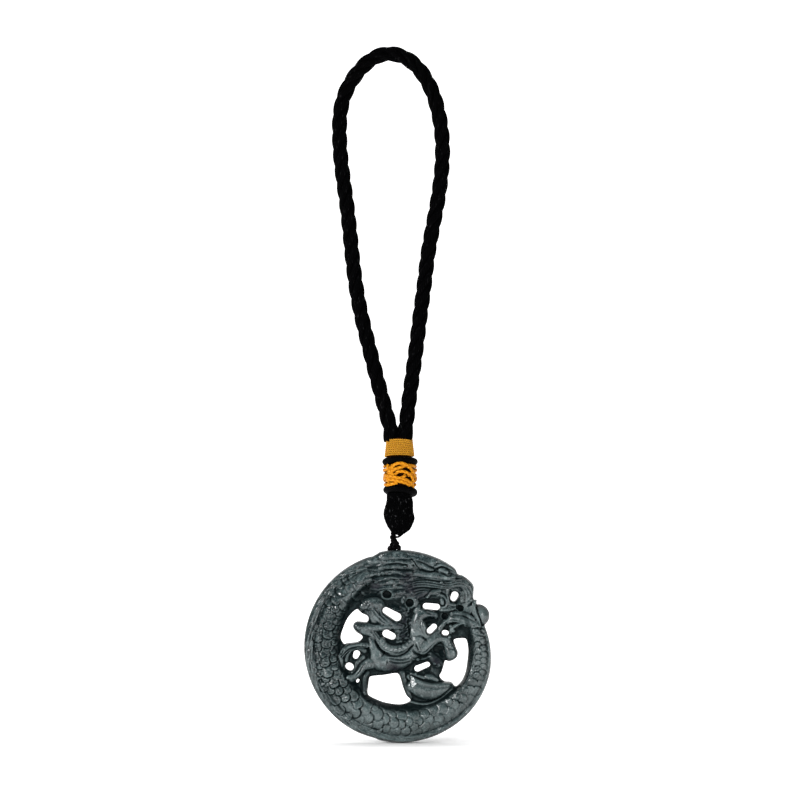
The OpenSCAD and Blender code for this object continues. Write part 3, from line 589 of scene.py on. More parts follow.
# Fine lines on what the strokes left: rows of x, z, half the width, and the height or minus the depth
CUTS = [
    [[3.2, 8.2, .25, -.3], [3, 6.6, .3, -.6], [3.4, 4.6, .3, -.6], [3.7, 2.4, .25, -.3]],
    [[6.9, 7.4, .3, -.3], [6.8, 5.6, .25, -.25], [7.6, 4.2, .2, -.1]],
    [[8.4, 10.4, .2, 0], [9.4, 9.9, .25, -.5], [10.3, 9.3, .2, -.2]],
    [[6.4, 11, .2, 0], [6.6, 10.5, .22, -.3], [7.3, 10.3, .2, 0]],
    [[4.8, 3.1, .2, -.1], [5.7, 3, .25, -.4], [6.8, 3.1, .3, -.5], [7.9, 2.4, .3, -.5],
     [8.8, 1.6, .25, -.3]],
    [[5.1, 1.2, .2, -.1], [5.5, .1, .25, -.5], [6.1, -1, .2, -.3]],
    [[4.2, -.4, .3, -.2], [4.8, -1.6, .45, -.7], [6.2, -2.6, .45, -.8], [7.8, -2.9, .4, -.7],
     [9.4, -2.4, .3, -.4]],
    [[6.2, -1.7, .2, -.2], [7.4, -1.9, .2, -.3], [8.8, -1.2, .2, -.35], [10, 0, .2, -.3],
     [11.4, 1.3, .2, -.1]],
    [[10.6, -.2, .25, -.2], [11.8, .8, .25, -.3], [13.2, 1.2, .25, -.2]],
    [[14, .4, .2, -.1], [15, -.6, .2, -.3], [16.4, -.8, .2, -.3], [17.2, -.4, .2, -.1]],
    [[10.6, -5.4, .2, -.3], [11.6, -6, .2, -.3], [12.8, -5.4, .2, -.2]],
    # saddle and cloth
    [[-6.9, 2.4, .3, -.4], [-6.5, .8, .35, -.7], [-5.6, -.6, .35, -.8], [-4.2, -1.9, .35, -.9],
     [-2.6, -2.7, .35, -.8], [-.6, -2.9, .3, -.7], [1.2, -2.5, .3, -.7], [2.8, -1.5, .3, -.7],
     [3.9, -.3, .3, -.7], [4.8, .6, .25, -.4]],
    [[-5.6, 1, .2, -.2], [-4.6, -.4, .2, -.3], [-2.8, -1.5, .2, -.3], [-.6, -1.9, .2, -.3],
     [1.6, -1.5, .2, -.3], [3, -.6, .2, -.2]],
    [[-3.4, -3.4, .2, -.1], [-1.8, -3.6, .25, -.4], [.4, -4, .25, -.5], [2.6, -3.8, .25, -.4],
     [3.8, -3.1, .2, -.3]],
    [[-2.4, -4.4, .2, -.3], [-.8, -4.9, .25, -.5], [1.4, -5, .25, -.5], [3.4, -4.6, .2, -.4]],
    # rump and hind leg
    [[-8.9, -.6, .3, -.3], [-8.6, -2, .3, -.6], [-8.5, -3.6, .25, -.3]],
    [[-3.3, -3.6, .3, -.1], [-3.2, -4.8, .3, -.4], [-3.6, -5.8, .25, -.1]],
    [[-9.6, -5.2, .2, -.1], [-10.8, -6.4, .2, -.3], [-11.6, -7.8, .2, -.3], [-12.8, -9.2, .2, -.2]],
    # tail
    [[-9.6, 1.2, .2, -.2], [-12, 1, .2, -.3], [-14.4, .6, .2, -.3], [-16.2, -.5, .2, -.3]],
    [[-10.4, -.2, .2, -.3], [-12.4, -.2, .2, -.4], [-14.4, -.7, .2, -.4], [-16, -2, .25, -.5],
     [-17, -3.2, .25, -.5]],
    [[-14.6, -1.5, .2, -.3], [-15.6, -2.7, .2, -.4], [-16.2, -4.4, .2, -.4], [-16.4, -6.4, .2, -.2]],
    [[-13.9, -1.7, .2, -.2], [-14.6, -3, .2, -.3], [-14.6, -4.2, .2, -.3]],
    [[-17.6, -1.6, .2, -.2], [-17, -2.4, .25, -.6], [-16.4, -1, .2, -.3]],
    [[-11.6, -6, .2, -.2], [-12.6, -7.4, .2, -.3], [-13.8, -8.4, .2, -.2]],
    # clouds
    [[-8.6, 11.4, .2, -.1], [-7.6, 10.8, .22, -.4], [-6.6, 9.4, .22, -.4], [-5.2, 8, .22, -.4],
     [-3.8, 7, .2, -.2]],
    [[-7.4, 12, .2, -.1], [-6.2, 10.4, .22, -.4], [-5.2, 9.2, .22, -.4], [-3.6, 7.8, .22, -.35],
     [-2.2, 6.9, .2, -.1]],
    [[-10, 11.6, .2, -.1], [-9.4, 12.8, .22, -.4], [-8.6, 13.6, .2, -.1]],
    [[-9.2, 10.8, .2, -.1], [-8.8, 12, .22, -.4], [-8.2, 12.9, .2, -.1]],
    [[-8.4, 7, .25, -.4], [-6.8, 6.6, .25, -.4], [-5.4, 6.7, .2, -.2]],
    [[-8.4, 4.8, .2, -.2], [-7.4, 3.7, .22, -.4], [-6.5, 2.5, .22, -.4], [-6, 1.3, .2, -.2]],
    [[-7.6, 5, .2, -.1], [-6.6, 3.7, .22, -.4], [-5.7, 2.4, .22, -.4], [-5.3, 1.5, .2, -.2]],
    # bowl of the ingot
    [[3.8, -8.6, .25, -.3], [5.6, -9.4, .3, -.5], [7.6, -10.3, .3, -.6], [10, -10.9, .3, -.6],
     [13, -11, .3, -.4]],
    [[4, -15.9, .3, -.4], [6, -16.7, .3, -.6], [9, -16.8, .3, -.6], [11.8, -15.7, .3, -.6],
     [14.2, -14, .3, -.6], [16, -12.3, .25, -.4]],
    # bracelet lines at the end of the tail
    [[22.2, 5.3, .25, -.5], [24.2, 5.5, .3, -.7], [26.6, 5.1, .25, -.5]],
    [[22.4, 3.7, .2, -.3], [24.4, 3.4, .25, -.5], [26.8, 2.6, .2, -.3]],
    [[23, 4.9, .2, -.1], [24, 4.2, .2, -.3], [25.2, 3.2, .2, -.1]],
    # head: crest, leaves, brow, eye
    [[4, 26.2, .25, -.5], [4.9, 25.4, .3, -.7], [5.7, 23.9, .3, -.7], [6.8, 22.9, .3, -.7],
     [7.3, 23, .2, -.3]],
    [[5.6, 25.8, .2, -.2], [7.2, 25.2, .22, -.4], [9, 24.2, .22, -.4], [10.6, 23.4, .2, -.3]],
    [[7, 22.9, .25, -.4], [8.4, 22.5, .28, -.6], [10, 22.4, .25, -.5], [11.4, 23, .2, -.3]],
    [[10.8, 24.4, .2, -.2], [11.9, 25, .22, -.3], [13.2, 25.3, .2, -.1]],
    [[11.8, 23.1, .22, -.4], [13, 23.9, .25, -.6], [14.6, 23.5, .25, -.6], [16.2, 22.6, .2, -.4],
     [17.2, 21.9, .2, -.3]],
    [[12.2, 22.6, .22, -.3], [13.4, 21.9, .25, -.4], [14.6, 21.3, .25, -.5], [15.6, 21.2, .3, -.5],
     [16.2, 22, .25, -.3]],
    [[9.6, 24.6, .2, -.1], [11.4, 25, .2, -.2], [13.4, 25, .2, 0]],
    # lips and whiskers, parallel lines that run on into the mane
    [[4.6, 20, .18, -.2], [6.4, 20.4, .2, -.35], [9, 20.5, .2, -.35], [12, 20.1, .2, -.3],
     [15, 19.6, .18, -.1]],
    [[4, 19.3, .18, -.2], [6, 19.8, .2, -.4], [9, 19.9, .2, -.4], [12, 19.4, .2, -.4], [15, 18.9, .2, -.35],
     [18, 19.6, .2, -.3], [20.4, 19.6, .18, -.1]],
    [[3.6, 18.5, .18, -.2], [6, 19.2, .22, -.5], [9, 19.2, .22, -.5], [12, 18.7, .22, -.5],
     [15, 18.2, .2, -.45], [17.6, 18.8, .2, -.35], [19.8, 18.6, .18, -.2], [21.2, 17.2, .18, -.2],
     [22, 15.8, .16, -.1]],
    [[3.4, 17.8, .18, -.2], [5.4, 18.4, .2, -.4], [8, 18.5, .2, -.4], [11, 18.1, .2, -.4],
     [14, 17.6, .2, -.35], [16.4, 17.7, .18, -.2]],
    [[4, 17, .2, -.2], [6.6, 17.6, .2, -.4], [9.2, 17.4, .2, -.5], [11.8, 17.3, .2, -.3],
     [13.6, 17, .2, -.1]],
    [[4.6, 16.2, .2, -.2], [6.6, 16.7, .2, -.4], [8.2, 16.9, .2, -.3], [9.6, 17, .2, -.1]],
    [[5, 15.3, .2, -.2], [6.4, 16, .22, -.4], [7.6, 16.4, .2, -.1]],
    [[8, 14.9, .3, -.4], [8.8, 15.6, .3, -.7], [9.8, 16.9, .25, -.5], [10.5, 17.2, .2, -.2]],
    [[11.4, 16, .25, -.2], [12.8, 16.1, .25, -.4], [14.2, 15.4, .25, -.5], [14.9, 14.1, .22, -.3]],
    [[15.4, 20.3, .2, -.1], [17, 20.4, .22, -.4], [18.6, 20.4, .22, -.4], [20, 19.9, .2, -.1]],
    [[19.8, 17.8, .18, -.2], [20.6, 16.6, .18, -.35], [21, 15.2, .18, -.3], [20.8, 13.8, .18, -.1]],
    [[20.8, 18.2, .18, -.2], [21.6, 17, .18, -.35], [22.1, 15.4, .18, -.3], [22, 13.8, .18, -.1]],
    [[18.4, 14.8, .18, -.1], [19.2, 15.4, .2, -.35], [19.2, 16.6, .2, -.35], [18.4, 17.4, .18, -.1]],
    [[20, 12.9, .18, -.1], [21, 13.4, .2, -.3], [22.3, 14.6, .18, -.2]],
    [[20.9, 12, .25, -.3], [21.8, 12.6, .3, -.6], [22.4, 13.6, .2, -.4]],
    [[12.7, 14.4, .2, -.1], [13.6, 14.3, .2, -.3], [14.1, 13.4, .2, -.35], [13.8, 12.3, .2, -.3],
     [12.9, 12.1, .2, -.1]],
    [[15.8, 12, .22, -.1], [16.6, 11.6, .25, -.35], [17.6, 12.2, .2, -.2]],
    # forelimb
    [[15.2, 9.3, .2, -.1], [17, 9.4, .22, -.35], [19, 9.2, .22, -.35], [21, 8.5, .22, -.35],
     [23.2, 7.3, .2, -.3]],
    [[15.6, 7.7, .2, -.2], [17.2, 7.6, .22, -.4], [19, 7.4, .22, -.3], [21, 6.6, .2, -.1]],
    [[15.6, 6.6, .2, -.2], [16.6, 7, .22, -.4], [18, 7.2, .2, -.3]],
    [[18.2, 6.1, .2, -.3], [19.6, 6.4, .22, -.4], [21, 6, .2, -.1]],
    [[17.4, 11.1, .2, -.2], [18, 10.4, .22, -.4], [19, 10.6, .2, -.3], [19.6, 10.1, .2, -.1]],
    # fin
    [[22.1, 13, .18, -.3], [22.2, 11.4, .2, -.4], [22.8, 9.4, .2, -.4], [23.9, 7.6, .2, -.4],
     [24.5, 6.3, .18, -.2]],
    [[22.8, 13, .18, -.2], [22.7, 11.4, .2, -.35], [23.2, 9.6, .2, -.35], [24.2, 7.8, .18, -.2]],
    [[23.5, 13.2, .2, -.3], [23.4, 11.4, .2, -.4], [23.9, 9.6, .2, -.4], [24.9, 7.6, .2, -.4],
     [25.2, 6, .18, -.3]],
    # mane: dark lines between the locks
    [[5, 26.3, .21, -.25], [3, 26, .26, -.43], [.4, 26.1, .21, -.31], [-2.4, 26, .19, -.19],
     [-5.6, 25.9, .17, -.12]],
    [[4.6, 24.3, .26, -.31], [2.6, 24.3, .21, -.25], [.2, 24.8, .21, -.31], [-2.6, 24.6, .24, -.37],
     [-5.2, 24.3, .17, -.12]],
    [[4.4, 22.7, .3, -.5], [3, 22.8, .3, -.5], [1.8, 22.9, .21, -.25], [-.4, 23, .21, -.31],
     [-2.6, 23, .26, -.37], [-4.4, 22.8, .26, -.37], [-6.6, 22.7, .19, -.19], [-9.2, 22.9, .17, -.19]],
    [[3.6, 21.2, .26, -.31], [2, 20.9, .21, -.31], [-.6, 21.3, .21, -.31], [-2.6, 21.3, .26, -.37],
     [-4.6, 21.1, .26, -.43], [-6.8, 20.8, .24, -.31], [-9, 20.7, .19, -.19]],
    [[2.4, 19.9, .19, -.19], [.4, 20, .19, -.25], [-1.8, 20, .21, -.31], [-3.6, 19.6, .21, -.25],
     [-5.6, 19.3, .21, -.25], [-8, 19.5, .17, -.12]],
    [[2.6, 18.5, .19, -.25], [.6, 18.5, .21, -.25], [-1.4, 18.3, .17, -.12], [-3.6, 18.3, .19, -.25],
     [-6, 18.2, .19, -.25]],
    [[2.8, 17.4, .19, -.25], [1.2, 17.1, .21, -.31], [-.8, 16.8, .19, -.19], [-2.8, 17, .26, -.31],
     [-5.2, 16.7, .26, -.37], [-6.6, 15.6, .26, -.37]],
    [[-9.6, 21, .21, -.25], [-9.9, 19.8, .26, -.37], [-9.5, 18.4, .21, -.37], [-8.8, 17.6, .17, -.19]],
    [[4.4, 21.6, .17, -.12], [3.4, 20.4, .19, -.19], [2, 19.2, .17, -.19], [1.2, 18.6, .17, -.06]],
    [[5, 19, .15, -.06], [3.6, 18.2, .17, -.19], [2.4, 16.6, .17, -.19], [1.6, 15.9, .15, -.06]],
    [[4.8, 22.8, .17, -.06], [4.4, 21.4, .17, -.19], [4.6, 20.2, .17, -.06]]]

# Thin bright crests, in the same rows
CRESTS = [
    [[3.6, 6.3, .3, 0], [4, 5, .35, .35], [4.2, 3.4, .35, .3], [4.1, 2.2, .3, 0]],
    [[5.9, 2, .3, .1], [6, .6, .3, .35], [6.5, -1.2, .3, .3]],
    [[3.9, -3, .25, .2], [4.6, -3.9, .28, .4], [6.4, -4, .3, .4], [8.2, -3.7, .28, .4], [9.6, -3, .25, .2]],
    [[-8.7, 0, .3, .2], [-8, -1, .3, .4], [-7.8, -2.4, .3, .4], [-8, -3.3, .25, .1]],
    [[-10.7, -4.8, .25, .1], [-11.2, -6.2, .28, .35], [-12.2, -7.8, .25, .3], [-13.4, -8.8, .2, .1]],
    [[-3.8, 7.4, .25, .1], [-5, 8.8, .25, .3], [-6.2, 10, .2, .1]],
    [[15.6, 8.2, .3, .1], [16.8, 8.5, .3, .3], [17.9, 8.6, .25, .1]],
    [[17, 5.9, .25, .2], [17.9, 6.5, .28, .4], [19, 6.9, .25, .2]],
    [[13.1, 6.4, .25, .2], [13.9, 7.1, .3, .35], [14.8, 7.9, .25, .2]],
    [[1, 13.6, .3, .1], [1.5, 14.6, .35, .4], [1.9, 15.3, .3, .2]]]

# Domes of the manes and the joints: x, z, half the length and width, turn in degrees, level of the top
BLOBS = [
    [-9.1, 21.8, .75, .8, 0, 3.9], [-7.7, 21.4, .6, .6, 0, 3.75], [-6.9, 21.7, .4, .4, 0, 3.7],
    [-5.7, 21.6, .5, .6, 0, 3.8], [-4.5, 21.9, .6, .6, 0, 3.9], [-.9, 22.5, 1, .7, 0, 4],
    [-2.5, 22, .7, .6, 0, 3.9], [2, 21.7, .65, .6, 0, 3.9], [-1.9, 19.3, 1.1, .9, 0, 3.9],
    [-.8, 18.3, .8, .7, 0, 3.8], [-1.2, 15.6, .8, .6, 20, 3.9], [3.6, 24.6, .9, .7, 0, 4],
    [-8.5, 20.1, .6, .5, 0, 3.6], [-8.4, 19.3, .5, .4, 0, 3.6], [-3.4, 20.4, .5, .35, 0, 3.7],
    [-1.3, 20.6, .6, .35, 0, 3.7], [.3, 19.6, .6, .5, 0, 3.6], [-5.6, 19.6, .5, .35, 0, 3.5],
    [1.6, 16.3, .9, .4, 10, 3.7], [4.4, 16, .5, .5, 0, 3.6], [1.9, 14.6, .5, .6, 0, 3.9],
    [-6.5, 19.3, .6, .4, 0, 3.8], [-11.7, 5.6, .8, .7, 0, 4], [19.3, 13.6, .8, .6, 20, 4],
    [15.8, 6, .45, .45, 0, 3.8], [16.6, 4.6, .5, .5, 0, 3.5], [15.5, 2.8, .45, .45, 0, 3.7],
    [-14.8, -9.3, .8, .6, 30, 3.9], [13.1, 19.2, .5, .3, 0, 4.45], [12.3, -5.6, .5, .5, 0, 3.5],
    [11, -5.2, .5, .4, 0, 3.4], [-1.7, -4.2, .6, .4, -20, 4.2], [6, -3.9, .5, .35, 0, 4],
    [5.3, -8.3, .4, .3, 0, 3.4], [-10.1, .3, .5, .4, 0, 3.9], [2.1, 24, .5, .3, 0, 4.2]]

# Drilled pits that stay blind: x, z, radius, floor
PITS = [
    [-3.5, 15.6, 1.15, .9], [-2.9, 15.4, 1, .9], [3.5, 13, 1.2, .9], [14.1, 9, 1, .9], [18.8, 11.4, .9, 1.2],
    [18.1, 11.7, .7, 1.5]]

# Broad hollows under the strokes: rows of x, z, half the width and floor
SINKS = [
    [[6.6, 14, .7, 2], [8.8, 13.9, .9, 1.8], [11.8, 13.6, .9, 1.8]],
    [[11.6, -1, 1, 1.5], [12.8, -1.2, 1.2, 1.3], [13.4, -2.6, .8, 1.8]],
    [[8.4, 7.6, .9, 1.6], [9.8, 7.8, 1, 1.5], [11.2, 7.6, .9, 1.6]],
    [[7.6, 6.4, .5, 2], [8, 5.2, .5, 2]],
    [[14.4, 6.4, .7, 2], [14.6, 5.4, .7, 1.8]],
    [[-10.6, -10.8, .5, 1.8], [-10.9, -13.2, .5, 1.9]],
    [[-3, -6.9, .7, 2.2], [0, -6.4, .9, 1.9], [3.2, -6.6, .8, 1.9]],
    [[5.6, -4.9, .5, 1.8], [7.6, -4.6, .4, 1.8], [9.6, -3.9, .4, 2]],
    [[8.4, -7.5, .6, 1.9], [10.6, -7.2, .7, 1.8]],
    [[-2.4, 12.7, .8, 2], [0, 11.6, .8, 2]],
    [[-10.6, 10.6, .8, 2], [-9.6, 9.6, .6, 2]]]

# Hollows cut into the finished forms, in the same rows
HOLLOWS = [
    [[7.9, 7.9, .2, 2.6], [9, 8, .6, 1.8], [10.6, 8, .6, 1.8], [11.6, 7.4, .3, 2.2]],
    [[11.8, -.9, .7, 1.7], [12.9, -1.3, .7, 1.6], [13.3, -2.4, .4, 2]],
    [[11.4, -17, .1, 2.4], [14, -15.4, .2, 2.3], [16.6, -13.4, .2, 2.3], [18.4, -12.2, .2, 2.3]]]


def smax(a, b, k=0.15):
    """The higher of two heights, with the corner between them rounded."""
    e = np.clip(k - np.abs(a - b), 0, None) / k
    return np.maximum(a, b) + e * e * k * 0.25


def ease(t):
    """A soft step from 0 to 1."""
    t = np.clip(t, 0, 1)
    return t * t * (3 - 2 * t)


def rises(value, start, over):
    """A soft step from 0, where the value is at the start, up to 1."""
    return ease((value - start) / over)


def falls(value, end, over):
    """A soft step from 1 down to 0, where the value is at the end."""
    return ease((end - value) / over)


def grain(u, v, seed):
    """Soft random unevenness, one cell wide per unit of u and v."""
    cells = 64
    table = np.random.default_rng(seed).random((cells, cells)) * 2 - 1
    i, j = np.floor(u).astype(int), np.floor(v).astype(int)
    s, t = ease(u - i), ease(v - j)
    a, b, c, d = i % cells, (i + 1) % cells, j % cells, (j + 1) % cells
    return (table[a, c] * (1 - s) + table[b, c] * s) * (1 - t) + (table[a, d] * (1 - s) + table[b, d] * s) * t


def patch(points, reach):
    """The part of the grid round some points."""
    places = np.asarray(points)[:, :2]
    lo, hi = places.min(0) - reach, places.max(0) + reach
    return slice(*np.searchsorted(GX, (lo[0], hi[0]))), slice(*np.searchsorted(GZ, (lo[1], hi[1])))


def near(line, reach):
    """The part of the grid near a line, with the distance from it and the place along it."""
    cut = patch(line, reach)
    x, z = X[cut], Z[cut]
    best, at = np.full(x.shape, np.inf), np.zeros(x.shape)
    for k in range(len(line) - 1):
        a, d = line[k, :2], line[k + 1, :2] - line[k, :2]
        t = np.clip(((x - a[0]) * d[0] + (z - a[1]) * d[1]) / max(d @ d, 1e-9), 0, 1)
        q = (x - a[0] - t * d[0]) ** 2 + (z - a[1] - t * d[1]) ** 2
        m = q < best
        best[m], at[m] = q[m], (k + t)[m]
    return cut, np.sqrt(best), at


def stroke(rows, times=1.0, more=0.0):
    """The grid near a stroke, the distance from it, and its third and fourth value at the nearest place."""
    line = smooth(rows)
    cut, d, at = near(line, line[:, 2].max() * times + more)
    n = np.arange(len(line))
    return cut, d, np.interp(at, n, line[:, 2]), np.interp(at, n, line[:, 3])


def reach_in(points, reach, step=0.3):
    """Signed distance from a smooth closed outline, positive inside, over its part of the grid."""
    line = smooth(points, step, closed=True)
    cut, d, _ = near(line, reach)
    x, z, poly = X[cut], Z[cut], line[:-1, :2]
    odd = np.zeros(x.shape, bool)
    for (ax, az), (bx, bz) in zip(poly, np.roll(poly, -1, axis=0)):
        if az != bz:
            odd ^= ((az > z) != (bz > z)) & (x < (bx - ax) * (z - az) / (bz - az) + ax)
    return cut, np.where(odd, d, -d)


def profile(rows, at):
    """A smooth curve through the rows, read at the places asked for."""
    fine = smooth(rows, 0.5)
    return np.interp(at, fine[:, 0], fine[:, 1])


def ring_parts():
    """At each grid point: distance in from the edge, per cent across the body, angle and width of the rim."""
    x, z = X - OUT_AT[0], Z - OUT_AT[1]
    r, a = np.hypot(x, z), np.degrees(np.arctan2(z, x))
    out, rim = profile(OUTLINE, a), profile(RIM, a)
    ox, oz = IN_AT[0] - OUT_AT[0], IN_AT[1] - OUT_AT[1]
    run = ox * np.cos(np.radians(a)) + oz * np.sin(np.radians(a))
    inner = run + np.sqrt(IN_R ** 2 - (ox * ox + oz * oz - run * run))
    return out - r, 100 * (out - rim - r) / (out - rim - inner), a, rim


EDGE, SHARE, ANGLE, RIM_W = ring_parts()
RING_H = (np.where(SHARE < 0, profile(RIM_ROWS, 100 * EDGE / RIM_W), profile(BODY_ROWS, SHARE))
          * (profile(SWELL, ANGLE) / 100))
PEARL_D = np.hypot(X - PEARL_X, Z - PEARL_Z)


class Field:
    """Heights over the grid. They start as the ring and the web inside it."""

    def __init__(self):
        self.h = np.where(SHARE < 100, RING_H, WEB)

    def ridge(self, rows, lower=0):
        """A rounded strip."""
        cut, d, w, top = stroke([[*row[:3], row[3] - lower] for row in rows])
        lift = top - w * (1 - np.sqrt(np.clip(1 - (d / w) ** 2, 0, 1)))
        self.h[cut] = smax(self.h[cut], np.where(d < w, lift, FAR_BELOW))

    def line(self, rows):
        """A fine line, added to what is there."""
        cut, d, w, much = stroke(rows, 1.6)
        self.h[cut] += much * np.exp(-(d / w * 1.25) ** 2)

    def blob(self, x, z, rx, rz, turn, top):
        """An oval dome."""
        cut = patch([[x, z]], max(rx, rz) * 1.3)
        c, s = np.cos(np.radians(turn)), np.sin(np.radians(turn))
        u = ((X[cut] - x) * c + (Z[cut] - z) * s) / rx
        v = (-(X[cut] - x) * s + (Z[cut] - z) * c) / rz
        q = u * u + v * v
        lift = top - min(rx, rz) * 0.7 * (1 - np.sqrt(np.clip(1 - q, 0, 1)))
        self.h[cut] = smax(self.h[cut], np.where(q < 1, lift, FAR_BELOW), 0.2)

    def press(self, cut, floor, t):
        """Whatever stands higher than the floor, pressed toward it."""
        self.h[cut] += (np.minimum(floor, self.h[cut]) - self.h[cut]) * t

    def pit(self, x, z, r, floor):
        """A round hole with a flat floor."""
        soft = 0.35
        cut = patch([[x, z]], r * 1.6)
        self.press(cut, floor, falls(np.hypot(X[cut] - x, Z[cut] - z), r + soft / 2, soft))

    def sink(self, rows, soft=0.5):
        """A broad hollow."""
        cut, d, w, floor = stroke(rows, more=soft)
        self.press(cut, floor, falls(d, w + soft / 2, soft))


def carve():
    """The front, in the order in which each step cuts into or lies on the ones before."""
    f = Field()
    for rows in SINKS:
        f.sink(rows)
    for rows in CLOUDS + INGOT + HORSE + SADDLE:
        f.ridge(rows)
    scales(f)
    chips(f)
    rim_strokes(f)
    head_plate(f)
    for rows in MANE + HEAD:
        f.ridge(rows)
    pearl(f)
    for row in BLOBS:
        f.blob(*row)
    for rows in CUTS + CRESTS:
        f.line(rows)
    for rows in HOLLOWS:
        f.sink(rows, 1.2)
    facet(f)
    saddle_fringe(f)
    mane_hair(f)
    tool_marks(f)
    for row in PITS:
        f.pit(*row)
    return f.h


def plain_back():
    """The back: ring, plate and the larger forms, without the fine lines."""
    f = Field()
    for rows in CLOUDS + INGOT + HORSE:
        f.ridge(rows, 0.3)
    cut, d = reach_in(HEAD_PLATE, 3.0)
    plate = PLATE_LEVEL + 0.6 * rises(d, -PLATE_LIP, 1.2)
    f.h[cut] = np.where(d > -PLATE_LIP, smax(f.h[cut], plate, .2), f.h[cut])
    for rows in HEAD + MANE:
        f.ridge(rows, 0.4)
    pearl(f)
    return f.h


def head_plate(f):
    """The plate under head and mane, which sinks into the neck at its upper left."""
    cut, d = reach_in(HEAD_PLATE, 3.0)
    x, z, ground = X[cut], Z[cut], f.h[cut]
    neck = falls(x, -6.4, 3.0)
    plate = PLATE_LEVEL + 0.75 * rises(d, -PLATE_LIP, 1.2) - 1.6 * falls(x, -4.0, 4) * rises(z, 22.5, 1.5)
    plate -= 1.2 * neck
    # what the plate covers is cut down first
    over = np.where(d > 0.3, np.minimum(ground, 3.2 + 1.4 * neck), ground)
    f.h[cut] = np.where(d > -PLATE_LIP, smax(over, plate, .3), ground)


def facet(f):
    """The flat cut at the left end of the ingot's bowl, which catches the light."""
    cut, d = reach_in(FACET, 1.0, 0.2)
    # the plane: the height at one point of it, and its slopes to the right and downward
    at_x, at_z, level, right, down = 4.5, -10.5, 3.75, 0.47, 0.20
    flat = level + right * (X[cut] - at_x) - down * (Z[cut] - at_z)
    f.h[cut] += (flat - f.h[cut]) * rises(d, -0.15, 0.25)


def scales(f):
    """Overlapping scales, laid from the tail toward the neck; each one's free edge points to the tail."""
    level = np.where(SHARE < 0, 2.7, profile(BODY_ROWS, SHARE) - .1)
    chance = np.random.default_rng(11)
    # a scale's shape: longer than wide, longer still under the next one, how square, and how far it tilts
    longer, under_next, square, tilt = 1.04, 1.6, 2.3, 0.30
    for x, z, r in SCALES:
        # the scales lie roughest on the left, below the shoulder, and rough on the right
        rough = 3.0 if x < -12 and z < 9 else 2.0 if x > 20 and z > -10 else 1.2
        lift, lean_u, lean_v = chance.uniform(-1, 1, 3) * (0.05, 0.09, 0.09) * rough
        deep = chance.uniform(0.10, 0.28) * (2 + rough) / 3
        a = np.arctan2(z - OUT_AT[1], x - OUT_AT[0])
        cut = patch([[x, z]], r * 1.7)
        # u runs along the body toward the tail's end and v across it
        u = ((Z[cut] - z) * np.cos(a) - (X[cut] - x) * np.sin(a)) / (r * longer)
        v = ((X[cut] - x) * np.cos(a) + (Z[cut] - z) * np.sin(a)) / r
        length = np.where(u < 0, u / under_next, u)
        q = (np.abs(length) ** square + np.abs(v) ** square) ** (1 / square)
        own = level[cut] + (0.05 + tilt * rises(u, -1.0, 1.9)) * (1 - 0.22 * q ** 3) - 0.10 * v * v
        own += lift + lean_u * u + lean_v * v
        keep = falls(q, 1.0, 0.12) * rises(u, -1.35, 0.5)
        groove = deep * np.exp(-((q - 1.09) / 0.10) ** 2) * rises(u, -0.6, 0.5)
        f.h[cut] = f.h[cut] * (1 - keep) + own * keep - groove * (1 - keep)


def chips(f):
    """Small chips and creases that break up the scales on the left of the ring, and a few on the right."""
    where = falls(X, -12, 4) * falls(Z, 15, 4) * rises(Z, -18, 4)
    where += 0.7 * rises(X, 20, 2) * falls(Z, 3, 3) * rises(Z, -12, 3)
    where *= rises(EDGE, RIM_W, 0.3) * falls(SHARE, 86, 8)
    for size, deep, seed in ((1.25, 0.26, 14), (0.75, 0.16, 15)):
        crease = 1 - np.abs(grain((X + .3 * Z) / size, (Z - .4 * X) / size / 0.8, seed))
        f.h -= where * deep * crease ** 7
    f.h += where * 0.12 * grain(X / 0.9 + 20, Z / 0.7 + 20, 16)


def rim_strokes(f):
    """Fine strokes that flow along the rim, and the groove between it and the scales."""
    along = np.radians(ANGLE) * RIM_MIDDLE
    fade = rises(EDGE, 0, 0.4) * falls(EDGE, RIM_W, 0.4)
    # none where the head lies over the rim
    free = 1 - rises(ANGLE, 6, 6) * falls(ANGLE, 116, 6)
    strokes = grain(along / 3.2, (EDGE + 0.10 * along) / 0.40, 5)
    strokes += 0.5 * grain(along / 1.4, (EDGE + .2 * along) / .3, 8)
    f.h += 0.26 * strokes * fade * free
    groove = np.exp(-((EDGE - RIM_W) / 0.15) ** 2) * (0.6 + 0.4 * grain(along / 2.5 + 9, EDGE * 0, 12))
    under = 0.35 + 0.65 * falls(ANGLE, -20, 10) * rises(ANGLE, -165, 20)
    f.h -= 0.13 * groove * free * under


def pearl(f):
    """The pearl, right of the slanting edge of the fin."""
    sunk, at_fin = 0.1, 2.3
    ball = np.sqrt(np.clip(PEARL_R ** 2 - PEARL_D * PEARL_D, 0, None)) - sunk
    fin_edge = 24.25 - 0.24 * (Z - 9.0)
    clear = X - fin_edge
    shown = ease(clear / 0.35)
    lift = ball * shown + np.minimum(ball, at_fin) * (1 - shown)
    f.h = np.where((PEARL_D < PEARL_R) & (clear > 0), lift, f.h)


def saddle_fringe(f):
    """Short rays on the arc under the saddle."""
    at_x, at_z, arc_r, ray = -1, 3.6, 4.4, .62
    r, a = np.hypot(X - at_x, Z - at_z), np.degrees(np.arctan2(Z - at_z, X - at_x))
    a = np.where(a > 0, a - 360, a)
    band = rises(r, 3.3, .4) * falls(r, 5.5, .5) * rises(a, -160, 12) * falls(a, -8, 12)
    f.h += 0.17 * np.sin(np.radians(a) * arc_r / ray * np.pi + r * .6) * band


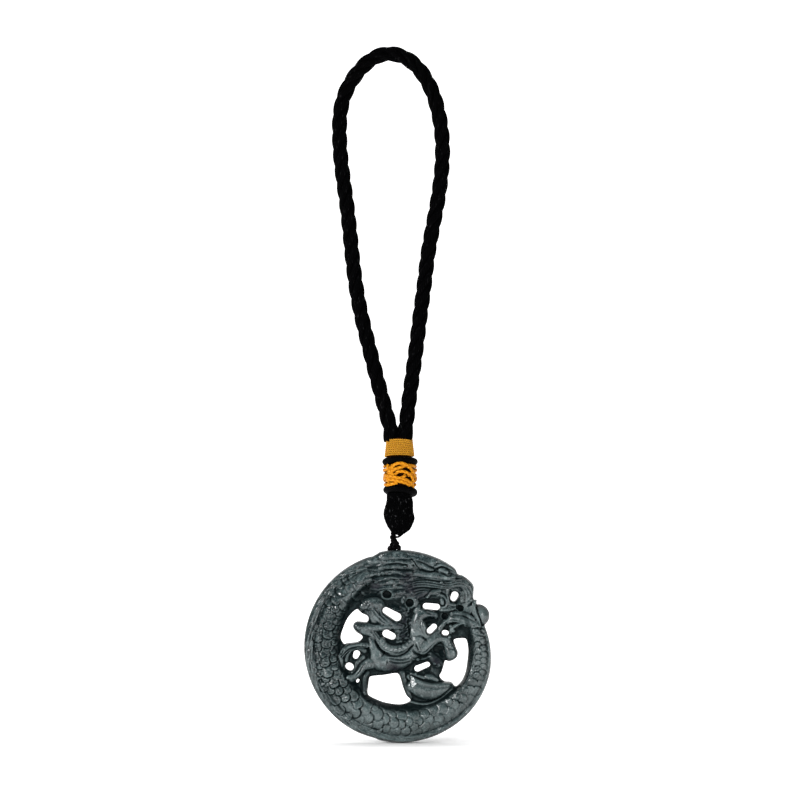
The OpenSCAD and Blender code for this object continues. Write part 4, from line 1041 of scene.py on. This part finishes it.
def mane_hair(f):
    """The hair of the horse's mane between saddle and neck, where the ground is low."""
    u = (X - 1.7) + .12 * (Z - 4)
    hair = falls(np.abs(u), 3, .6) * rises(Z, .2, 1.2) * falls(Z, 12.4, 1.5) * falls(f.h, 3.2, .4)
    locks = grain((X - 1.1 * Z) / .55, (Z + X) / 1.2, 18)
    locks += .7 * grain((Z + .3 * X) / .40, (X - .3 * Z) / .75, 19)
    f.h += hair * (.55 + .30 * locks)


def tool_marks(f):
    """Loose strands of the dragon's mane, and the tools' unevenness everywhere but on the pearl."""
    strands = falls(X, 5.0, 1.5) * rises(X, -10.4, 1.0) * rises(Z, 14.6, 1.5) * falls(Z, 26.2, 1.0)
    f.h += strands * 0.20 * grain(X / 2.4 + 7, (Z + .25 * np.sin(X * .7)) / 0.40, 6)
    stone = 1 - falls(PEARL_D, PEARL_R + 0.2, 0.4)
    f.h += stone * (0.05 * grain(X / 2.1 + 30, Z / 2.1 + 30, 1) + 0.05 * grain(X / .8 + 30, Z / .8 + 30, 2)
                    + 0.03 * grain(X / .4 + 90, Z / .4 + 90, 3))


def plan_of_stone():
    """Signed distance inside the stone, in the plane of the face."""
    fin = np.minimum(np.minimum(X - FIN_LEFT, FIN_RIGHT - X), np.minimum(Z - FIN_LOW, FIN_TOP - Z))
    ball = np.where(X > 23.0, PEARL_R - PEARL_D, FAR_BELOW)
    s = np.maximum(np.maximum(EDGE, ball), fin)
    for gap in (CLOUD_GAP, FORELEG_GAP, BELLY_GAP):
        cut, d = reach_in(gap, 3.0)
        s[cut] = np.minimum(s[cut], -d)
    for x0, z0, r0, x1, z1, r1 in SLOTS:
        cut, d, at = near(np.array([[x0, z0], [x1, z1]]), max(r0, r1) + 3.0)
        s[cut] = np.minimum(s[cut], d - (r0 + (r1 - r0) * at))
    return s


def rounding(plan):
    """The share of the height left toward a cut edge: a short round, a broad one on the ring's inner side."""
    short, more = 0.7, 1.3
    reach = short + more * rises(SHARE, 58, 22) * falls(SHARE, 106, 4) * rises(EDGE, 4, 1)
    q = np.clip(plan / reach, 0, 1)
    deep = 0.5 - 0.22 * (reach - short) / more
    return deep + (1 - deep) * np.sqrt(1 - (1 - q) ** 2)


def sheet_of(plan, levels):
    """The inside of the plan as triangles: points of x, z and the value of each level there, and faces."""
    ni, nj = plan.shape
    corner = np.arange(ni * nj).reshape(ni, nj)
    plan = plan.ravel()
    values = np.stack([X.ravel(), Z.ravel()] + [v.ravel() for v in levels], axis=1)

    def crossing(a, b):
        """Points where the plan's edge crosses the grid's lines from corners a to corners b."""
        cut = (plan[a] > 0) != (plan[b] > 0)
        ids = np.full(a.shape, -1)
        ids[cut] = np.arange(cut.sum())
        a, b = a[cut], b[cut]
        t = np.clip(plan[a] / (plan[a] - plan[b]), 0.06, 0.94)[:, None]
        return ids, values[a] + (values[b] - values[a]) * t

    across, p1 = crossing(corner[:-1, :], corner[1:, :])
    upward, p2 = crossing(corner[:, :-1], corner[:, 1:])
    across = np.where(across >= 0, across + ni * nj, -1)
    upward = np.where(upward >= 0, upward + ni * nj + len(p1), -1)
    points = np.vstack([values, p1, p2])
    c = [corner[:-1, :-1], corner[1:, :-1], corner[1:, 1:], corner[:-1, 1:]]
    e = [across[:, :-1], upward[1:, :], across[:, 1:], upward[:-1, :]]
    corners = [v.ravel() for v in c + e]
    kind = sum((plan[corners[k]] > 0).astype(int) << k for k in range(4))
    # which corners (0 to 3) and crossings (4 to 7) go round the inside, by the corners that are inside
    cases = {1: ["047"], 2: ["154"], 3: ["0157"], 4: ["265"], 5: ["047", "265"], 6: ["1264"], 7: ["01267"],
             8: ["376"], 9: ["0463"], 10: ["154", "376"], 11: ["01563"], 12: ["2375"], 13: ["04523"],
             14: ["12374"], 15: ["0123"]}
    faces = []
    for number, shapes in cases.items():
        at = np.nonzero(kind == number)[0]
        for shape in shapes:
            ids = [corners[int(ch)][at] for ch in shape]
            for k in range(1, len(ids) - 1):
                faces.append(np.stack([ids[0], ids[k], ids[k + 1]], axis=1))
    used, faces = np.unique(np.vstack(faces), return_inverse=True)
    return points[used], faces.reshape(-1, 3)


def stone_mesh(front, back, plan):
    """The closed skin of the stone: front, back and the walls between them, in millimetres."""
    points, tri = sheet_of(plan, [front, back])
    x, z, ahead, behind = points.T
    edges = np.vstack([tri[:, [0, 1]], tri[:, [1, 2]], tri[:, [2, 0]]])
    _, first, count = np.unique(np.sort(edges, axis=1), axis=0, return_index=True, return_counts=True)
    rim = edges[first[count == 1]]
    # the walls have rings of points between the front's edge and the back's
    on_rim = np.unique(rim)
    place = np.full(len(points), -1)
    place[on_rim] = np.arange(len(on_rim))
    steps = 4
    verts, rings = [np.stack([x, -ahead, z], axis=1)], [rim]
    for k in range(1, steps):
        t = k / steps
        rings.append(len(points) + (k - 1) * len(on_rim) + place[rim])
        verts.append(np.stack([x, -ahead * (1 - t) + behind * t, z], axis=1)[on_rim])
    base = len(points) + (steps - 1) * len(on_rim)
    rings.append(base + rim)
    verts.append(np.stack([x, behind, z], axis=1))
    faces = [tri, tri[:, ::-1] + base]
    for a, b in zip(rings, rings[1:]):
        faces.append(np.stack([a[:, 1], a[:, 0], b[:, 0]], axis=1))
        faces.append(np.stack([a[:, 1], b[:, 0], b[:, 1]], axis=1))
    return np.vstack(verts), np.vstack(faces)


def blurred(field, n):
    """The mean of a field over n grid points to each side."""
    wide = 2 * n + 1
    for axis in (0, 1):
        pad = [(n + 1, n) if k == axis else (0, 0) for k in (0, 1)]
        total = np.cumsum(np.pad(field, pad, mode="edge"), axis=axis)
        m = total.shape[axis]
        ahead = np.take(total, range(wide, m), axis=axis)
        field = (ahead - np.take(total, range(m - wide), axis=axis)) / wide
    return field


def sampled(field, x, z):
    """A field's values at points of the plane."""
    i = np.clip((x - GX[0]) / PITCH, 0, len(GX) - 1.001)
    j = np.clip((z - GZ[0]) / PITCH, 0, len(GZ) - 1.001)
    i0, j0 = i.astype(int), j.astype(int)
    u, v = i - i0, j - j0
    return (field[i0, j0] * (1 - u) * (1 - v) + field[i0 + 1, j0] * u * (1 - v)
            + field[i0, j0 + 1] * (1 - u) * v + field[i0 + 1, j0 + 1] * u * v)


# The front's faces after thinning, under the most that a piece may have
FACES_LEFT = 185000

# Darker, purple-black clouds in the stone: x, z and radius
TINTS = [
    [1.6, 7, 3.2], [1.8, 3, 2.4], [11.6, -4.6, 2.6], [4, 17.6, 3.4], [7.4, 14.4, 2.6], [-1, -6.6, 2.4],
    [10.6, 8, 2], [-9.9, -12.4, 1.4], [2.6, 20.8, 2.6], [-7, 18, 2.4], [13, 8.6, 1.6], [-18.2, -1, 1.4]]

# Broad darker and paler patches, some of them painted shade on the ring's inner slopes and in hollows: x, z,
# radius, and how much darker or, where below nought, paler
CLOUDING = [
    [-21.5, 6, 5, .95], [-21.5, -2, 5, .95], [-26, 11, 4, .55], [-20, 16, 4, .45], [-16.5, 10, 4.5, .5],
    [-20, -15, 5, .7], [-15.5, -13, 4, .4], [-11, 11, 3.5, .35], [-8, 17.5, 5.5, .35], [-5, 25, 5, .35],
    [0, 21, 5, .3], [5, 16.5, 5, .7], [10, 17, 4, .35], [19.5, 17, 3, .6], [-1, 11, 4, .8], [2, 7, 2, .4],
    [-6.5, -8.5, 4, .7], [-1, -7.5, 3, 1], [10, -4.5, 4, .35], [19.5, -9.5, 3.4, 1], [19, -14, 3, .4],
    [14, -18, 4, .3], [19, 1, 2.5, .4], [-10.5, 1, 3, .2], [27.5, -4, 4, -.8], [25, 11, 4.5, -.9],
    [25, -15, 4, -.8], [-6.5, -19.5, 4.5, -.8], [-1, -18.5, 3, -.6], [5, 3, 3.4, -.8], [9.5, 1.5, 3, -.5],
    [-6, -3, 4, -.7], [-2, 1, 3, -.6], [6, -10, 3, -.6], [3, -27.5, 3, -.5], [1.8, -11.5, 1.8, .8],
    [-14.2, -2.6, 2.6, .7], [-9.6, -11.5, 2.2, .8]]


def stone_marks(h, plan, rounded):
    """As fields: painted shade where the stone is low or steep, purple clouds, painted highlights on its
    crests, and broad darker and paler patches.
    """
    inside_h = np.where(plan > 0, h, 0)
    low = np.zeros(h.shape)
    # painted shade in the hollows: the further a place lies below the mean round it, the darker
    for reach, much in ((2, 0.62), (5, 0.60), (11, 0.50), (24, 0.30)):
        low += much * np.clip(blurred(inside_h, reach) - h, 0, 2)
    # painted shade: darker on the low ground inside the ring, on its bare inner slope and more so on the
    # right, on the walls toward the openings, and on every steep flank
    bare = falls(h, RING_H + 0.35, 0.3) * rises(EDGE, 4, 1)
    low += 0.66 * falls(h, 3.35, 1.3) * rises(SHARE, 108, 8)
    low += 0.62 * rises(SHARE, 70, 14) * falls(SHARE, 116, 8) * bare
    low += 0.50 * rises(SHARE, 60, 14) * falls(SHARE, 116, 8) * rises(X, 15, 3)
    low += 0.30 * (1 - ease(plan / 1.1)) * rises(EDGE - plan, 0.3, 0.5)
    steepness = np.hypot(*np.gradient(blurred(inside_h * rounded, 1), PITCH))
    low += 0.55 * rises(steepness, 0.45, 1.5)
    # the scales on the left take more painted shade in their grooves and more painted highlight on their
    # crests
    left_scales = falls(X, -10, 4) * falls(Z, 14, 3)
    low += left_scales * 2.0 * np.clip(blurred(inside_h, 3) - h, 0, 2)
    # painted highlight: paler the further a place stands above the mean round it
    painted_crest_highlight = np.clip(h - blurred(h, 4), 0, 1) * (1.8 + 1.2 * left_scales)
    tint, shade = np.zeros(h.shape), np.zeros(h.shape)
    for x, z, r in TINTS:
        tint = np.maximum(tint, 0.9 * np.exp(-((X - x) ** 2 + (Z - z) ** 2) / r ** 2 * 1.4))
    for x, z, r, much in CLOUDING:
        shade += much * np.exp(-((X - x) ** 2 + (Z - z) ** 2) / r ** 2 * 1.2)
    return {"painted_cavity_shade": np.clip(low, 0, 1), "tint": tint, "painted_crest_highlight": np.clip(painted_crest_highlight, 0, 1),
            "shade": np.clip(shade, -1, 1)}


def triangle_mesh(name, verts, faces):
    """A mesh from very many triangles, in millimetres."""
    mesh = bpy.data.meshes.new(name)
    mesh.vertices.add(len(verts))
    mesh.vertices.foreach_set("co", (verts * MM).ravel())
    mesh.loops.add(len(faces) * 3)
    mesh.loops.foreach_set("vertex_index", faces.ravel().astype(np.int32))
    mesh.polygons.add(len(faces))
    mesh.polygons.foreach_set("loop_start", np.arange(0, len(faces) * 3, 3, dtype=np.int32))
    mesh.update(calc_edges=True)
    return mesh


def thinned(obj, faces_left):
    """The object's mesh with fewer faces, where it is flattest."""
    dense = obj.data
    fewer = obj.modifiers.new("fewer", "DECIMATE")
    fewer.ratio = faces_left / len(dense.polygons)
    graph = bpy.context.evaluated_depsgraph_get()
    obj.data = bpy.data.meshes.new_from_object(obj.evaluated_get(graph))
    obj.modifiers.clear()
    bpy.data.meshes.remove(dense)
    return obj.data


def mark(mesh, marks):
    """The fields laid on a mesh as attributes. They fade out behind the front, because the back is plain."""
    co = np.empty(len(mesh.vertices) * 3, np.float32)
    mesh.vertices.foreach_get("co", co)
    x, y, z = (co.reshape(-1, 3) / MM).T
    ahead = np.clip(0.5 - y, 0, 1)
    for name, field in marks.items():
        layer = mesh.attributes.new(name, "FLOAT", "POINT")
        layer.data.foreach_set("value", (sampled(field, x, z - DISC_Z) * ahead).astype(np.float32))


def jade():
    h, plan = carve(), plan_of_stone()
    rounded = rounding(plan)
    front, back = [np.maximum(heights, LEAST) * rounded for heights in (h, plain_back())]
    verts, faces = stone_mesh(front, back, plan)
    verts[:, 2] += DISC_Z
    obj = bpy.data.objects.new("jade_carving", triangle_mesh("jade_disc_carved", verts, faces))
    scene.collection.objects.link(obj)
    mesh = thinned(obj, FACES_LEFT)
    mesh.name = "jade_carving"
    mark(mesh, stone_marks(h, plan, rounded))
    mesh.polygons.foreach_set("use_smooth", [True] * len(mesh.polygons))
    mesh.materials.append(jade_material())
    stands_for(obj, "jade_disc")


jade()


# the knots between the loop and the stone
def ring_line(width, depth, z, lift, n=96, lean=0.0):
    """A level ring round the neck, whose front stands higher by lift, and its left side by lean."""
    c, s = np.cos(angles(n)), np.sin(angles(n))
    return np.stack([NECK_X + width * c, depth * s, z - lift * s - lean * c], axis=1)


def lathe(name, profile_rows, mat, depth=1.0, bow=0.0):
    """A turned form round the neck from radius and height, squeezed in depth; its front may bow upward."""
    sides = 72
    c, s = np.cos(angles(sides)), np.sin(angles(sides))
    verts = [np.stack([NECK_X + r * c, depth * r * s, z - bow * s * r / 4], axis=1) for r, z in profile_rows]
    faces = wall(len(verts), sides, down=True)
    faces.append(list(range(sides)))
    faces.append([(len(verts) - 1) * sides + k for k in range(sides - 1, -1, -1)])
    return add_object(name, np.vstack(verts), faces, mat)


def gold_winding():
    gold = fibre_material("gold_thread", (0.24, 0.072, 0.002), (0.98, 0.58, 0.058), 2.2, 1.6, rough=0.4,
                          bump_mm=0.03, shine=0.1)
    turns, per_turn, start = 8.0, 150, -0.4
    # the length of one twist of the thread, how far out its plies lie, and the radius of one
    one_twist, lay, strand = 1.3, 0.178, 0.144
    # how far the front bows, how square it is, where the first turn lies, half the thread, and the taper
    bow, square, first, half_thread, taper = 0.72, 0.8, 0.85, 0.32, 0.55
    t = np.linspace(0, turns, int(turns * per_turn))
    a, down = TURN * t + start, t / turns
    # a rounded square from above, narrower at the top, whose front bows upward
    half = WRAP_W / 2 - half_thread - taper * (1 - down)
    deep = WRAP_T / 2 - 0.3
    c, s = np.cos(a), np.sin(a)
    x = NECK_X - 0.15 + half * np.sign(c) * np.abs(c) ** square
    y = deep * np.sign(s) * np.abs(s) ** square
    line = np.stack([x, y, WRAP_TOP - first - (WRAP_H - first) * down - bow * s], axis=1)
    tangent = heading(line)
    up = unit(np.cross(tangent, np.cross([0, 0, 1], tangent)))
    b = Bundle()
    b.lay(line, way(line), 2, lay, one_twist, strand, up, np.cross(tangent, up), sides=7, up=(0, 0, 1))
    stands_for(b.object("gold_thread_winding", gold), "gold_wrap")
    under = core_material("winding_core", (0.010, 0.002, 0.001), (0.06, 0.014, 0.002))
    rows = [[0.02, WRAP_TOP - 0.45], [3.2, WRAP_TOP - 0.55], [3.45, WRAP_TOP - 1.2], [3.85, WRAP_TOP - 3.4],
            [4.0, UPPER_Z + 0.1], [0.02, UPPER_Z]]
    stands_for(lathe("winding_core", rows, under, depth=0.66, bow=0.55), "gold_wrap")


def satin_ring(name, node, satin, rings):
    """A black ring: a thick cord outside, and thinner ones that fill it toward the neck's middle."""
    b = Bundle()
    for line, radius, sides in rings:
        b.add(line, radius, sides=sides, closed=True, up=(0, 0, 1))
    stands_for(b.object(name, satin), node)


def black_rings():
    satin = fibre_material("black_satin_cord", (0.0002, 0.0002, 0.0003), (0.0014, 0.0014, 0.0016), 1.3, 5.0,
                           rough=0.6, bump_mm=0.05, speck=0.02, shine=0.02)
    z = UPPER_Z - UPPER_H / 2 - 0.25
    satin_ring("upper_cord_ring", "upper_ring", satin,
               [(ring_line(4.42, 3.75, z, 0.80), 0.93, 18), (ring_line(2.7, 2.4, z, 0.50), 1.1, 12),
                (ring_line(0.9, 0.8, z, 0.15, n=24), 1.1, 12)])
    z = LOWER_TOP - LOWER_H / 2 + 0.1
    outer = ring_line(4.08, 3.65, z, 0.85, lean=0.38)
    satin_ring("lower_cord_ring", "lower_ring", satin,
               [(outer, 1.08 + 0.09 * (outer[:, 0] - NECK_X) / 4, 18),
                (ring_line(2.6, 2.3, z, 0.50, lean=0.2), 1.2, 12),
                (ring_line(0.9, 0.8, z, 0.15, n=24), 1.15, 12)])


# The gold knot's strands on the front: across from the neck's middle, below the knot's top, and sunk in
GOLD_STRANDS = [
    [[-4.2, 2, .4], [-3.3, 2.5, .2], [-2.5, 1.8, 0], [-1.6, 1.15, -.1], [-.6, .8, -.1], [.5, .5, 0],
     [1.5, .15, .3], [2.4, 0, .6]],
    [[-3.2, 1.8, .5], [-2.3, .2, .1], [-1.1, -.5, -.2], [.2, -.65, -.3], [1.5, -.4, -.3], [2.6, .35, -.3],
     [3.5, 1.2, -.2], [4.1, 2.1, 0], [4.8, 3.1, .3]],
    [[-1.6, 2.7, .5], [-.8, 2, .1], [.3, 1.75, -.1], [1.55, 1.95, -.2], [2.65, 2.5, -.2], [3.5, 3.3, -.2],
     [4, 4.2, 0], [4.25, 5.1, .3]],
    [[-5.5, 2.85, .3], [-4.2, 3.1, 0], [-2.8, 3.3, -.2], [-1.5, 3.5, -.2], [-.2, 3.8, -.1], [.9, 3.55, .1],
     [1.8, 3, .4]],
    [[-4.8, 4.65, .6], [-3.7, 4.45, .2], [-2.4, 4.35, -.1], [-.9, 4.6, -.2], [.6, 4.95, -.2], [2, 5.35, -.1],
     [3.2, 6, .1]],
    [[-.2, 4.9, .6], [.8, 4.2, .2], [1.8, 4.3, 0], [2.9, 4.9, 0], [3.8, 5.7, 0], [4.5, 6.5, .1]],
    [[-5.5, 5.85, .2], [-4.3, 5.9, 0], [-3.1, 5.7, 0], [-2, 5.4, .1], [-.9, 5.2, .4]],
    [[1.7, .3, .5], [2.8, 0, .1], [4, .15, 0], [5.4, .45, 0]],
    [[5.5, 1.45, .1], [4.5, 1.9, 0], [3.55, 2.55, .1], [2.6, 3.1, .4]],
    [[-4.25, -.15, .3], [-4, .6, 0], [-3.55, 1.45, 0], [-2.95, 2.3, .1], [-2.15, 2.9, .4]],
    [[-2.8, -.2, .4], [-2.5, .6, .2], [-2.4, 1.4, .3]],
    [[-5.4, 1.45, 0], [-4.6, 1.4, 0], [-3.8, 1.05, .2], [-3.2, .4, .5]],
    [[-5.4, 4, .1], [-4.5, 3.9, 0], [-3.5, 3.7, .2], [-2.7, 3.3, .5]],
    [[-3.7, 5.5, .5], [-3.9, 4.75, .3], [-3.5, 4, .3], [-2.6, 3.7, .5]],
    [[5.3, 4.15, .2], [4.55, 4.95, .1], [3.7, 5.3, .4]],
    [[4.45, 3.2, .1], [5, 3.75, .1], [5.4, 4.6, .2]]]


def gold_knot():
    gold = fibre_material("gold_cord", (0.30, 0.085, 0.002), (0.74, 0.36, 0.018), 0.8, 3.0, rough=0.4,
                          bump_mm=0.015, shine=0.06)
    radius, thick, sink, squeeze = 5.3, 0.49, 1.05, 0.94
    reach = radius - thick * 0.6
    half_h = GOLD_H / 2
    b = Bundle()
    for side in (1, -1):
        for strand in GOLD_STRANDS:
            x, low, deep = smooth(strand, 0.25).T
            z = GOLD_TOP - low
            r = (radius - thick - deep * sink) * (1 - 0.05 * ((z - (GOLD_TOP - half_h)) / half_h) ** 2)
            a = np.arcsin(np.clip(x / reach, -1.0, 1.0))
            a += np.sign(x) * np.clip(np.abs(x) - reach, 0, None) / radius
            line = np.stack([NECK_X + side * r * np.sin(a), -side * squeeze * r * np.cos(a), z], axis=1)
            b.add(even(line, 0.22)[0], thick, sides=10, up=(0, 0, 1))
    stands_for(b.object("gold_knot_cords", gold), "gold_knot")
    dark = core_material("knot_core", (0.002, 0.0006, 0.0003), (0.012, 0.003, 0.0012))
    rows = [[0.02, GOLD_TOP + 0.4], [3.6, GOLD_TOP + 0.3], [3.95, GOLD_TOP - 0.7], [4.0, GOLD_TOP - 3],
            [3.95, LOWER_TOP + 0.5], [3.8, LOWER_TOP - 0.9], [0.02, LOWER_TOP - 1]]
    stands_for(lathe("knot_core", rows, dark, bow=0.5), "gold_knot")


# The knob's outline: below its top, left side, right side
KNOB_EDGES = [
    [-1, -3.35, 3.95], [-.1, -3.4, 4.1], [1.1, -3.4, 4.4], [2.3, -3.65, 4.55], [3.5, -4, 4.55],
    [4.7, -4.3, 4.6], [5.9, -4.3, 4.9], [6.8, -4.1, 5], [7.7, -3.8, 4.75], [8.6, -3.4, 4.35],
    [9.5, -2.95, 3.95], [10.25, -2.4, 3.4], [10.8, -2.05, 2.7], [11.25, -1.8, 2], [11.5, -1.3, 1.6],
    [11.7, -.1, 1.4], [12, .1, 1]]


def stitches(u, v):
    """Knitted stitches over columns u and rows v, each a pair of legs that lean together; 1 is the top."""
    column, odd = (u % 1) - 0.5, np.floor(u) % 2
    high = np.zeros(u.shape)
    for leg in (-1, 1):
        across = column - leg * 0.25
        for shift in (-1, 0, 1):
            along = ((v + 0.25 * odd) % 1) - 0.5 + shift + leg * across * 1.5
            high = np.maximum(high, np.sqrt(np.clip(1 - (across / 0.27) ** 2 - (along / 0.62) ** 2, 0, 1)))
    return high


def knob():
    knit = fibre_material("black_knit", (0.0002, 0.0002, 0.0003), (0.0020, 0.0020, 0.0022), 2.2, 3.0,
                          rough=0.85, bump_mm=0.05, speck=0.2, shine=0.01)
    low, left, right = even(smooth(KNOB_EDGES, 0.15), 0.14)[0].T[:, :, None]
    n, sides = len(low), 220
    columns, pitch, relief = 20, 1.2, 0.42
    a = angles(sides)
    z = KNOB_TOP - low
    mid, half = (left + right) / 2, (right - left) / 2
    u, v = np.broadcast_arrays(a / TURN * columns, -z / pitch)
    r = half + 0.05 - relief * np.clip(half / 1.5, 0, 1) * (1 - stitches(u, v))
    verts = np.stack([mid + r * np.cos(a), 0.95 * r * np.sin(a), np.broadcast_to(z, r.shape)], axis=2)
    ends = [[mid[0, 0], 0, z[0, 0] + 0.1], [mid[-1, 0], 0, z[-1, 0] - 0.2]]
    faces = wall(n, sides, down=True)
    for k in range(sides):
        m = (k + 1) % sides
        faces.append([n * sides, k, m])
        faces.append([n * sides + 1, (n - 1) * sides + m, (n - 1) * sides + k])
    uv = np.vstack([np.stack([u.ravel(), v.ravel()], axis=1), [[0, 0], [0, 0]]])
    piece = add_object("knitted_knob", np.vstack([verts.reshape(-1, 3), ends]), faces, knit, uv=uv)
    stands_for(piece, "braided_knob")


# The hanger's two legs, its short middle strand and a stitch: x, depth and height over the knob's end
LEG_A = [
    [-1.5, .4, 4], [-1.45, .3, 1.2], [-1.7, -.2, .1], [-1.1, -.6, -.7], [-.45, -.6, -1.3], [-.3, -.3, -1.9],
    [-.1, 0, -2.5], [.35, 0, -3.3], [.2, 0, -5]]
LEG_B = [
    [-1.2, -.4, 4], [-1.4, -.4, 1.2], [-1.15, .2, .1], [-1.4, .5, -.6], [-1.6, .4, -1.4], [-1.75, .1, -2.1],
    [-2.1, 0, -2.7], [-2.5, 0, -3.4], [-2.2, 0, -5]]
MIDDLE = [
    [-1.3, .5, 1], [-1.2, .3, -1], [-1.15, 0, -2.4], [-1.1, 0, -4]]
STITCH = [
    [1.1, -.2, 1.4], [.6, -.2, .62], [-.2, -.2, .3], [-1, -.1, .4], [-1.5, 0, 1.2]]


def hanger():
    black = fibre_material("black_thin_cord", (0.0003, 0.0002, 0.0003), (0.003, 0.0022, 0.0026), 2.0, 4.0,
                           rough=0.7, bump_mm=0.05, speck=0.2, shine=0.03)
    b = Bundle()
    for path, plies, strand, lay, one_twist in ((LEG_A, 2, 0.44, 0.34, 2.6), (LEG_B, 2, 0.44, 0.34, 2.6),
                                                (MIDDLE, 2, 0.40, 0.30, 2.2), (STITCH, 1, 0.30, 0.0, 2.0)):
        line, s = even(smooth([[x, y, KNOB_Z + z] for x, y, z in path], 0.2), 0.14)
        tangent = heading(line)
        side = unit(np.cross(tangent, [0, 1.0, 0.02]))
        b.lay(line, s, plies, lay, one_twist, strand, side, np.cross(side, tangent), sides=10)
    stands_for(b.object("hanger_cords", black), "hanger_cord")


gold_winding()
black_rings()
gold_knot()
knob()
hanger()


# floor, backdrop and light
def stage_piece(name, mat, shape, location=(0, 0, 0), rotation=(0, 0, 0), **sizes):
    mesh = bpy.data.meshes.new(name)
    bm = bmesh.new()
    shape(bm, **sizes)
    bm.to_mesh(mesh)
    bm.free()
    mesh.materials.append(mat)
    obj = bpy.data.objects.new(name, mesh)
    obj.location, obj.rotation_euler = location, rotation
    scene.collection.objects.link(obj)
    return obj


def lamp(name, energy, size, location, target, glossy=True):
    data = bpy.data.lights.new(name, "AREA")
    data.energy, data.shape, data.size = energy, "DISK", size
    obj = bpy.data.objects.new(name, data)
    obj.location = location
    obj.visible_glossy = glossy
    obj.rotation_euler = (Vector(target) - Vector(location)).to_track_quat("-Z", "Y").to_euler()
    scene.collection.objects.link(obj)


white = wall_material()
stage_piece("pale_floor", floor_material(), bmesh.ops.create_circle, (0, 0, (DISC_Z - FLOOR_BELOW) * MM),
            cap_ends=True, segments=96, radius=0.85)
stage_piece("pale_backdrop", white, bmesh.ops.create_grid, (0, 1.6, 0), (math.pi / 2, 0, 0),
            x_segments=8, y_segments=8, size=3.0)
# white all round, which is seen but lights nothing
surround = stage_piece("pale_surround", white, bmesh.ops.create_uvsphere,
                       u_segments=48, v_segments=24, radius=6.0)
surround.visible_diffuse = surround.visible_glossy = surround.visible_shadow = False

middle = (0, 0, -0.17)
lamp("key", 12.0, 0.2, (-0.90, -0.70, 0.20), middle)
lamp("panel", 3.0, 0.3, (0.80, -0.80, 0.05), middle)
lamp("front", 13.2, 0.4, (-0.1, -1.3, 0.3), middle, glossy=False)
lamp("top", 2.0, 0.9, (0.0, 0.25, 0.70), (0, 0.02, -0.2))

world = bpy.data.worlds.new("studio")
world.use_nodes = True
world.node_tree.nodes["Background"].inputs[0].default_value = (1, 1, 1, 1)
world.node_tree.nodes["Background"].inputs[1].default_value = 0.02
scene.world = world
scene.view_settings.view_transform = "Standard"
